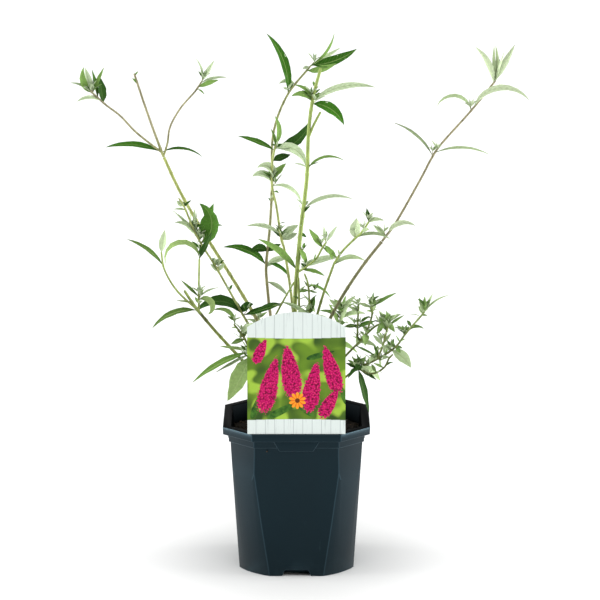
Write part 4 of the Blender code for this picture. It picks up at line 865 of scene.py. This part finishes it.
def leaf_line(leaf, root, share):
    """A leaf's middle at a share of its length: place, side and upper normal."""
    bearing, rise, bend = (math.radians(angle) for angle in (leaf.bearing, leaf.rise, leaf.droop))
    heading = Vector((math.cos(bearing), math.sin(bearing), 0))
    lean = rise - bend * share
    if abs(bend) < LEAST_BEND:
        ahead, up = math.cos(rise) * share, math.sin(rise) * share
    else:
        ahead = (math.sin(rise) - math.sin(lean)) / bend
        up = (math.cos(lean) - math.cos(rise)) / bend
    place = root + (heading * ahead + Vector((0, 0, up))) * leaf.length
    direction = heading * math.cos(lean) + Vector((0, 0, math.sin(lean)))
    side = heading.cross(Vector((0, 0, 1)))
    turn = math.radians(leaf.face) * (1 if heading.x > 0 else -1)
    side.rotate(Matrix.Rotation(turn, 3, direction))
    return place, side, side.cross(direction)


def tuft_leaves(tuft, rng):
    """The young leaves at a shoot's tip, in crossed pairs that close up towards the top."""
    pairs, length, width = tuft
    start = rng.uniform(0, 90)
    leaves = []
    for pair in range(pairs):
        rise = TUFT_LOWEST_RISE + TUFT_RISE_STEP * pair
        for opposite in (0, 180):
            leaves.append(Leaf(
                at=1.0 - TUFT_SPACING * (pairs - 1 - pair),
                bearing=start + 90 * pair + opposite + rng.uniform(-TUFT_STRAY, TUFT_STRAY),
                rise=rise + rng.uniform(-TUFT_RISE_STRAY, TUFT_RISE_STRAY),
                droop=rng.uniform(0, TUFT_MOST_DROOP),
                length=length * (1 - TUFT_SHRINK * pair) * rng.uniform(*TUFT_LENGTHS),
                width=width,
                face=rng.uniform(-TUFT_MOST_FACE, TUFT_MOST_FACE),
            ))
    return leaves


def corners_of(solid):
    """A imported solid's corners, set out for a quick search."""
    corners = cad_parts[solid].data.vertices
    tree = KDTree(len(corners))
    for corner in corners:
        tree.insert(corner.co, corner.index)
    tree.balance()
    return tree


def tip_of(leaf, root):
    return leaf_line(leaf, root, 1.0)[0] * MM


def as_packed(leaf, root, corners):
    """The leaf turned by the nudge that its solid took, or None where the solid has no such leaf."""
    for nudge in NUDGES:
        tried = leaf._replace(bearing=leaf.bearing + nudge)
        if corners.find(tip_of(tried, root))[2] < TIP_FOUND * MM:
            return tried
    return None


def add_blade(spray, leaf, root, young, rng):
    """Adds one closed thin blade, folded along its midrib, from a narrow stalk to a point."""
    above = 1 if leaf.look == "felt" else 0
    beneath = 0 if leaf.look in BOTH_GREEN else 1
    long = leaf.length >= LONG_FROM
    sections, columns = (LONG_BLADE, LONG_COLUMNS) if long else (SHORT_BLADE, SHORT_COLUMNS)
    waves = rng.uniform(*EDGE_WAVES)
    phase = rng.uniform(0, math.tau)
    shade = rng.random()
    ring = [(column, 1) for column in columns] + [(column, -1) for column in reversed(columns)]
    start = len(spray.verts)
    for share, width_share in sections:
        place, side, normal = leaf_line(leaf, root, share)
        half = max(STALK_HALF, width_share * leaf.width)
        stalk = max(0.0, 1 - share / STALK_SHARE)
        thick = BLADE_THICK + (STALK_THICK - BLADE_THICK) * stalk
        for column, face in ring:
            later = OTHER_EDGE_LATER if column > 0 else 0
            wave = math.sin(share * waves * math.tau + phase + later) * EDGE_WAVE
            rise = (LEAF_FOLD * abs(column) ** FOLD_CURVE + wave * abs(column) ** 2) * half * (1 - stalk)
            lift = rise + face * thick / 2 * (1 - EDGE_THINNING * abs(column))
            spray.verts.append((place + side * (half * column) + normal * lift) * MM)
            spray.flat.append(((column + 1) / 2, share))
    spray.verts.append(tip_of(leaf, root))
    spray.flat.append((0.5, 1.0))
    count = len(ring)
    upper = [k < len(columns) - 1 or k == count - 1 for k in range(count)]
    tip = len(spray.verts) - 1
    for low in range(start, tip - count, count):
        for k in range(count):
            other = (k + 1) % count
            spray.faces.append((low + k, low + other, low + count + other, low + count + k))
            spray.finish.append(above if upper[k] else beneath)
    spray.faces.append(tuple(range(start + count - 1, start - 1, -1)))
    spray.finish.append(beneath)
    for k in range(count):
        spray.faces.append((tip - count + k, tip - count + (k + 1) % count, tip))
        spray.finish.append(above if upper[k] else beneath)
    added = tip + 1 - start
    spray.young.extend([LOOK_AGES.get(leaf.look, young)] * added)
    spray.shade.extend([shade] * added)


def small_leaf(bearing, limits, rng, size=1.0):
    """A young leaf whose values are drawn within limits."""
    rise, droop, length, width, face = limits
    return Leaf(0, bearing, rng.uniform(*rise), rng.uniform(*droop), size * rng.uniform(*length),
                size * rng.uniform(*width), rng.choice((-1, 1)) * rng.uniform(*face))


def fits(leaf, root, box):
    """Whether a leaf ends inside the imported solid's reach."""
    return all(low <= place <= high for low, place, high in zip(box[0], tip_of(leaf, root), box[1]))


def add_side_shoot(spray, leaf, root, box, rng):
    """A short young shoot in a leaf's angle, where enough of its small leaves fit."""
    rise = math.radians(min(SHOOT_STEEPEST, leaf.rise + rng.uniform(*SHOOT_STEEPER)))
    bearing = leaf.bearing + rng.uniform(-SHOOT_STRAY, SHOOT_STRAY)
    turned = math.radians(bearing)
    ahead = Vector((math.cos(turned) * math.cos(rise), math.sin(turned) * math.cos(rise), math.sin(rise)))
    tip = root + ahead * rng.uniform(*SHOOT_LENGTHS)
    leaves = []
    for pair, opposite in SHOOT_PAIRS:
        stray = rng.uniform(-SHOOT_LEAF_STRAY, SHOOT_LEAF_STRAY)
        one = small_leaf(bearing + opposite + stray, SHOOT_LEAF, rng)
        rise, length = one.rise + UPPER_STEEPER * pair, one.length - UPPER_SHORTER * pair
        leaves.append(one._replace(rise=rise, length=length))
    leaves = [one for one in leaves if fits(one, tip, box)]
    if len(leaves) >= SHOOT_LEAST_LEAVES:
        spray.twigs.append(limb_points([root, tip], *SHOOT_THICKNESS, (), SHOOT_RING))
        for one in leaves:
            add_blade(spray, one, tip, rng.uniform(*SHOOT_AGES), rng)


def add_small_pair(spray, root, box, rng):
    """Two small opposite leaves on a twig, each where it fits."""
    bearing = rng.uniform(0, 180)
    length = rng.uniform(*SMALL_LENGTHS)
    for opposite in (0, 180):
        leaf = small_leaf(bearing + opposite, SMALL_LEAF, rng, length)
        if fits(leaf, root, box):
            add_blade(spray, leaf, root, rng.uniform(*SMALL_AGES), rng)


def grow(spray, label, lead_in, corners, box, shares, rules, rng):
    """Adds a twig with its leaves, side shoots and small pairs, then its own side twigs."""
    shoot = SHOOTS[label]
    route = [lead_in[-1], *(Vector(point) for point in shoot.route)]
    path = lead_in[:-1] + smooth_path(route, STEM_STEPS)
    finer = lead_in[:-1] + smooth_path(route, TWIG_FINER)
    leaves = [Leaf(*row) for row in shoot.leaves]
    placed = len(leaves)
    joints = sorted({round(leaf.at, 1) for leaf in leaves if JOINT_SHARES[0] < leaf.at < JOINT_SHARES[1]})
    thick, thin = stouter(shoot.thick), stouter(shoot.thin)
    spray.twigs.append(limb_points(finer, thick, thin, joints, TWIG_RING, TWIG_END))
    if shoot.tuft:
        leaves += tuft_leaves(shoot.tuft, rules)
    for i, leaf in enumerate(leaves):
        root = along(path, leaf.at)
        leaf = as_packed(leaf, root, corners)
        if leaf is None:
            continue
        young = leaf.at - GROWN_UP_TO + (GROWN_LENGTH - leaf.length) / GROWN_SPREAD
        young = rng.uniform(*TUFT_AGES) if i >= placed else max(0.0, min(1.0, young))
        add_blade(spray, leaf, root, young, rng)
        if i < placed and leaf.length > SHOOTS_FROM and rng.random() < shares[0]:
            add_side_shoot(spray, leaf, root, box, rng)
    steps = int((path[-1] - path[0]).length / SMALL_STEP)
    for step in range(1, steps):
        if rng.random() < shares[1]:
            add_small_pair(spray, along(path, step / steps), box, rng)
    for other, side in SHOOTS.items():
        if other.startswith(label + "/"):
            grow(spray, other, [along(path, side.at)], corners, box, shares, rules, rng)


def leaf_pattern():
    """The veins of a leaf by its own across and along values, and the mottling between them."""
    group, given = new_tree("Shader", "leaf pattern", {"Number": VEINS_LONG, "Slant": VEIN_SLANT},
                            ("Ahead", "Midrib", "Veins", "Mottle", "Height"))
    flat = out(group, "ShaderNodeUVMap", uv_map="leaf")
    ahead = axis(group, flat, "Y")
    off = times(group, number(group, "ABSOLUTE", minus(group, axis(group, flat, "X"), 0.5)), 2.0)
    midrib = fade(group, off, 0.05, 0.11, 1.0, 0.0)
    slant = minus(group, times(group, ahead, given["Number"]), times(group, off, given["Slant"]))
    swing = number(group, "ABSOLUTE", minus(group, number(group, "FRACT", slant), 0.5))
    veins = times(group, fade(group, swing, 0.40, 0.5), fade(group, off, 0.92, 0.75))
    puckers = times(group, cloud(group, 700.0, 2.0), 0.5)
    height = minus(group, puckers, number(group, "MAXIMUM", veins, midrib))
    mottle = cloud(group, 420.0, 4.0)
    node(group, "NodeGroupOutput", {
        "Ahead": ahead, "Midrib": midrib, "Veins": veins, "Mottle": mottle, "Height": height})
    return group


def leaf_material(tone, under):
    """One side of the leaves of a tone: veined dark green above with painted shade towards the stalks, or
    pale felt beneath.
    """
    upper, new, beneath, rib = (thousandths(colour) for colour in LEAF_TONES[tone])
    name, gloss, rough = ("leaf_under_", 0.03, 0.72) if under else ("leaf_upper_", 0.05, 0.50)
    made, tree = new_material(name + tone, Specular_IOR_Level=gloss)
    pattern = node(tree, "ShaderNodeGroup", node_tree=leaf_group).outputs
    young = node(tree, "ShaderNodeAttribute", attribute_name="young").outputs["Fac"]
    shade = node(tree, "ShaderNodeAttribute", attribute_name="shade").outputs["Fac"]
    height = pattern["Height"]
    if under:
        colour = mix(tree, shade, beneath, shaded(beneath, 0.80))
        height = times(tree, height, -1.0)
    else:
        grown = mix(tree, shade, shaded(upper, 0.50), upper)
        grown = mix(tree, fade(tree, young, -1.0, 0.0), DARK_GREEN, grown)
        # Painted shade: the upper side darker towards its stalk, most so low in the bush.
        low, high = (level * MM for level in STALK_SHADE_HEIGHTS)
        shade_by_height = fade(tree, axis(tree, here(tree), "Z"), low, high, 1.0, 0.35)
        stalk_shade = times(tree, fade(tree, pattern["Ahead"], 0.0, 0.45, 0.38, 0.0), shade_by_height)
        colour = mix(tree, stalk_shade, mix(tree, young, grown, new), DARK_GREEN)
    colour = scaled(tree, colour, fade(tree, pattern["Mottle"], 0.35, 0.70, 0.95, 1.13))
    ribs = number(tree, "MAXIMUM", times(tree, pattern["Veins"], 0.26), times(tree, pattern["Midrib"], 0.55))
    ribs = times(tree, ribs, fade(tree, young, -1.0, 0.0, 0.30, 1.0))
    rough = slope(tree, pattern["Mottle"], 0.14, rough)
    return finish_surface(made, mix(tree, ribs, colour, rib), rough, height, 0.28)


def leaf_object(name, spray, upper, under):
    """The leaves of a spray as one mesh, each a closed blade of its own."""
    mesh = bpy.data.meshes.new(name)
    mesh.from_pydata(spray.verts, [], spray.faces)
    mesh.polygons.foreach_set("material_index", spray.finish)
    for label, values in (("young", spray.young), ("shade", spray.shade)):
        mesh.attributes.new(label, "FLOAT", "POINT").data.foreach_set("value", values)
    flat = mesh.uv_layers.new(name="leaf")
    for loop in mesh.loops:
        flat.data[loop.index].uv = spray.flat[loop.vertex_index]
    bm = bmesh.new()
    bm.from_mesh(mesh)
    bmesh.ops.recalc_face_normals(bm, faces=bm.faces)
    bm.to_mesh(mesh)
    bm.free()
    shade_soft(mesh, LEAF_SMOOTH)
    made = new_object(name, mesh)
    give_material(made, upper, under)
    return made


leaf_group = leaf_pattern()
leaf_finishes = {tone: (leaf_material(tone, False), leaf_material(tone, True)) for tone in LEAF_TONES}
for name, (cane, twig_bark, leaf_tone, *shares) in SPRAYS.items():
    solid = "foliage_" + name
    path = cane_path(CANES[cane])
    ahead = (path[-1] - path[-2]).normalized()
    lead_in = [path[-1] + ahead * GAP, path[-1] + ahead * (GAP + STEM_LEAD_IN)]
    spray = Spray(*([] for _ in Spray._fields))
    rules, rng = random.Random(solid), random.Random(solid + " fine")  # the solid's own draws, and the rest
    grow(spray, name, lead_in, corners_of(solid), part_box(solid), shares, rules, rng)
    twigs = limb_object("twigs_" + name, spray.twigs, stem_barks[twig_bark],
                        Sides=TWIG_SIDES, Relief=TWIG_RELIEF * MM, Ridges=TWIG_RIDGES)
    leaves = leaf_object("leaves_" + name, spray, *leaf_finishes[leaf_tone])
    for piece in (twigs, leaves):
        stand_in(piece, solid)


# The picture card. A stiff plastic label with an arched top, pushed into the compost and printed
# on its front: a bright garden picture between two bands of whitewashed boards.
CARD_FRONT = -73.5
CARD_HALF = 50.0
CARD_FOOT = 154.3
PICTURE_LOW = 168.7
PICTURE_HIGH = 254.2
PICTURE_UNEVEN = (0.9, -1.1)  # how far its lower and upper edge stray from board to board
PRINT_DEPTH = (0.15, 0.35)  # behind the card's front face
PRINT_END = (0.4, 0.1)  # below the foot
BOARD_WIDTH = 9.4
BOARD_SHUFFLE = 12.9
PAINT = (0.63, 0.69, 0.665)
PAINT_SHADE = (0.26, 0.30, 0.30)
GROUND = ((0.030, 0.072, 0.012), (0.120, 0.225, 0.018), (0.300, 0.470, 0.050))
SPIKES = (  # middle across and up, lean in degrees, half length and half width
    (-27, 205, 14, 30, 9.0), (-6, 219, -8, 28, 9.5), (16, 203, 10, 27, 8.5),
    (35, 221, -16, 26, 8.0), (33, 186, 30, 18, 6.5), (-36, 240, 24, 14, 5.5),
)
SPIKE_TAPER = 0.45
PETALS = ((0.110, 0.002, 0.025), (0.420, 0.002, 0.085), (0.580, 0.012, 0.150))
PRINTED_LEAVES = (
    (-12, 180, 62, 20, 3.6), (4, 184, -50, 18, 3.4), (24, 236, 74, 15, 2.8), (-40, 184, 20, 15, 3.2),
    (46, 198, -20, 15, 2.8),
)
PRINTED_LEAF_TAPER = 0.4
PRINTED_GREEN = ((0.012, 0.055, 0.008), (0.060, 0.170, 0.018))
ROUND_FLOWER = (1, 189, 9.0)  # middle across and up, and its size
ROUND_RAYS = 10
ROUND_COLOURS = ((0.680, 0.120, 0.008), (0.800, 0.290, 0.020), (0.120, 0.030, 0.008))


def shape_group():
    """A long shape on a flat sheet: a mask that tapers upwards, at a place, a lean and a size."""
    group, given = new_tree("Shader", "long shape", {
        "Place": "Vector", "Middle": "Vector", "Lean": 0.0, "Length": 20.0, "Width": 4.0, "Taper": 0.4,
    }, ("Mask",))
    turned = {"Vector": given["Place"], "Center": given["Middle"], "Angle": given["Lean"]}
    place = out(group, "ShaderNodeVectorRotate", turned, rotation_type="Y_AXIS")
    apart = out(group, "ShaderNodeVectorMath", {0: place, 1: given["Middle"]}, operation="SUBTRACT")
    up = number(group, "DIVIDE", axis(group, apart, "Z"), given["Length"])
    wide = times(group, given["Width"], minus(group, 1.0, times(group, up, given["Taper"])))
    side = number(group, "DIVIDE", axis(group, apart, "X"), wide)
    filled = minus(group, 1.0, plus(group, times(group, up, up), times(group, side, side)))
    node(group, "NodeGroupOutput", {"Mask": filled})
    return group


def long_shape(tree, flat, row, taper, soft, ragged=0.0):
    """The mask of one spike or leaf, with a soft or ragged outline."""
    across, up, lean, length, width = row
    mask = out(tree, "ShaderNodeGroup", {
        "Place": flat, "Middle": (across, CARD_FRONT, up), "Lean": math.radians(-lean), "Length": length,
        "Width": width, "Taper": taper}, node_tree=long_group)
    return fade(tree, plus(tree, mask, ragged), 0.0, soft)


def garden(tree, flat):
    """The printed picture: flower spikes, leaves and one round flower on a blurred green ground."""
    blur = fade(tree, cloud(tree, 42.0, 1.0), 0.30, 0.70)
    glow = fade(tree, cloud(tree, 75.0, 0.0), 0.52, 0.72)
    picture = mix(tree, glow, mix(tree, blur, GROUND[0], GROUND[1]), GROUND[2])
    green = mix(tree, fade(tree, cloud(tree, 160.0), 0.3, 0.7), *PRINTED_GREEN)
    for row in PRINTED_LEAVES:
        picture = mix(tree, long_shape(tree, flat, row, PRINTED_LEAF_TAPER, 0.12), picture, green)
    floret = out(tree, "ShaderNodeTexVoronoi", {"Vector": flat, "Scale": 0.55, "Randomness": 0.9})
    petal = mix(tree, fade(tree, floret, 0.15, 0.60), PETALS[2], PETALS[1])
    petal = mix(tree, fade(tree, floret, 0.50, 0.80), petal, PETALS[0])
    petal = mix(tree, fade(tree, floret, 0.10, 0.20, 1.0, 0.0), petal, ROUND_COLOURS[0])
    ragged = times(tree, minus(tree, 0.45, floret), 0.55)
    for row in SPIKES:
        picture = mix(tree, long_shape(tree, flat, row, SPIKE_TAPER, 0.10, ragged), picture, petal)
    across, up, size = ROUND_FLOWER
    side, rise = minus(tree, axis(tree, flat, "X"), across), minus(tree, axis(tree, flat, "Z"), up)
    reach = number(tree, "POWER", plus(tree, times(tree, side, side), times(tree, rise, rise)), 0.5)
    turn = number(tree, "ARCTAN2", rise, side)
    lobes = number(tree, "ABSOLUTE", number(tree, "SINE", times(tree, turn, ROUND_RAYS / 2)))
    ray = mix(tree, fade(tree, lobes, 0.15, 0.80), ROUND_COLOURS[0], ROUND_COLOURS[1])
    edge = slope(tree, lobes, size * 0.30, size * 0.70)
    picture = mix(tree, fade(tree, minus(tree, edge, reach), 0.0, 0.5), picture, ray)
    eye = fade(tree, reach, size * 0.24, size * 0.30, 1.0, 0.0)
    return mix(tree, eye, picture, ROUND_COLOURS[2])


def card_print():
    """The printed front with its boards, and the plain card behind it and below the foot of the print."""
    made, tree = new_material("card_print", Specular_IOR_Level=0.12)
    flat = scaled(tree, here(tree), 1 / MM)
    height = axis(tree, flat, "Z")
    board = number(tree, "DIVIDE", plus(tree, axis(tree, flat, "X"), CARD_HALF), BOARD_WIDTH)
    uneven = number(tree, "SINE", times(tree, number(tree, "FLOOR", board), BOARD_SHUFFLE))
    seam = number(tree, "ABSOLUTE", minus(tree, number(tree, "FRACT", board), 0.5))
    grain = cloud(tree, 700.0, 4.0, stretch=(1, 1, 0.05), roughness=0.7)
    grain = fade(tree, grain, 0.52, 0.78, 0.0, 0.6)
    worn = number(tree, "MAXIMUM", times(tree, fade(tree, seam, 0.455, 0.495), 0.75), grain)
    low_edge, high_edge = (
        slope(tree, uneven, stray, edge) for stray, edge in zip(PICTURE_UNEVEN, (PICTURE_LOW, PICTURE_HIGH)))
    above = fade(tree, minus(tree, height, low_edge), 0.0, 0.4)
    below = fade(tree, minus(tree, high_edge, height), 0.0, 0.4)
    printed = mix(tree, times(tree, above, below), mix(tree, worn, PAINT, PAINT_SHADE), garden(tree, flat))
    front = fade(tree, axis(tree, flat, "Y"), *(CARD_FRONT + depth for depth in PRINT_DEPTH), 1.0, 0.0)
    shown = times(tree, front, fade(tree, height, *(CARD_FOOT - drop for drop in PRINT_END)))
    blank = mix(tree, cloud(tree, 60.0), PAINT, shaded(PAINT, 0.94))
    rough = slope(tree, cloud(tree, 30.0), 0.10, 0.30)
    return finish_surface(made, mix(tree, shown, blank, printed), rough, cloud(tree, 500.0, 2.0), 0.01)


long_group = shape_group()
give_material(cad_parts["label_card"], card_print())


# The studio: a pale floor with a painted shadow round the pot, large soft lamps at both sides
# and overhead, and the camera, a little above the crown. None of it belongs to the plant.
FLOOR_SIZE = 24.0
FLOOR_COLOUR = (0.95, 0.95, 0.95)
# Painted shadow round the pot: its grey, its reach in millimetres from full to none, and its stretch.
FLOOR_SHADOW = (0.78, 0.785, 0.78)
FLOOR_SHADOW_REACH = (60, 200)
FLOOR_SHADOW_STRETCH = (1.0, 0.6, 1.0)
CAMERA_PLACE = (0.0036, -3.0, 0.945)
CAMERA_AIM = (0.0036, 0.0, 0.276)
CAMERA_LENS = 180.7
CAMERA_SENSOR = 36.0
SIDE_LAMPS = (("left_softbox", -8.0), ("right_softbox", 8.0))
SIDE_LAMP_HEIGHT = 0.98
SIDE_LAMP_SIZE = (5.8, 1.96)
SIDE_LAMP_POWER = 988
CEILING_TILT = (12, 0, 5)
CEILING_SPREAD = 80
CEILING_STRENGTH = 1.75
SKY_STRENGTH = 0.52


def floor_material():
    """A pale studio floor, greyer close round the pot with a painted contact shadow."""
    made, tree = new_material("studio_floor", Specular_IOR_Level=0.1)
    shade = fade(tree, cloud(tree, 2.0, 2.0), 0.2, 0.8)
    place = out(tree, "ShaderNodeMapping", {"Vector": here(tree), "Scale": FLOOR_SHADOW_STRETCH})
    away = node(tree, "ShaderNodeVectorMath", {0: place}, operation="LENGTH").outputs["Value"]
    painted_shadow = fade(tree, away, *(reach * MM for reach in FLOOR_SHADOW_REACH), 1.0, 0.0)
    colour = mix(tree, painted_shadow, mix(tree, shade, FLOOR_COLOUR, shaded(FLOOR_COLOUR, 1.02)), FLOOR_SHADOW)
    return finish_surface(made, colour, fade(tree, shade, 0.0, 1.0, 0.62, 0.70), shade, 0.1)


def aim(thing, target):
    thing.rotation_euler = (Vector(target) - thing.location).to_track_quat("-Z", "Y").to_euler()


half = FLOOR_SIZE / 2
corners = [(-half, -half, 0), (half, -half, 0), (half, half, 0), (-half, half, 0)]
floor_mesh = bpy.data.meshes.new("studio_floor")
floor_mesh.from_pydata(corners, [], [(0, 1, 2, 3)])
floor_mesh.materials.append(floor_material())
new_object("studio_floor", floor_mesh)

for name, across in SIDE_LAMPS:
    lamp = bpy.data.lights.new(name, "AREA")
    lamp.shape = "RECTANGLE"
    lamp.size, lamp.size_y = SIDE_LAMP_SIZE
    lamp.energy = SIDE_LAMP_POWER
    softbox = new_object(name, lamp)
    softbox.location = (across, 0.0, SIDE_LAMP_HEIGHT)
    softbox.visible_camera = False
    aim(softbox, (0, 0, SIDE_LAMP_HEIGHT))

ceiling = bpy.data.lights.new("ceiling_light", "SUN")
ceiling.energy = CEILING_STRENGTH
ceiling.angle = math.radians(CEILING_SPREAD)
new_object("ceiling_light", ceiling).rotation_euler = [math.radians(angle) for angle in CEILING_TILT]

sky = bpy.data.worlds.new("studio")
sky.use_nodes = True
sky.node_tree.nodes["Background"].inputs["Color"].default_value = (1.0, 1.0, 1.0, 1.0)
sky.node_tree.nodes["Background"].inputs["Strength"].default_value = SKY_STRENGTH
bpy.context.scene.world = sky
bpy.context.scene.view_settings.view_transform = "Standard"

camera = new_object("camera", bpy.data.cameras.new("camera"))
camera.data.lens = CAMERA_LENS
camera.data.sensor_width = CAMERA_SENSOR
camera.location = CAMERA_PLACE
aim(camera, CAMERA_AIM)
bpy.context.scene.camera = camera
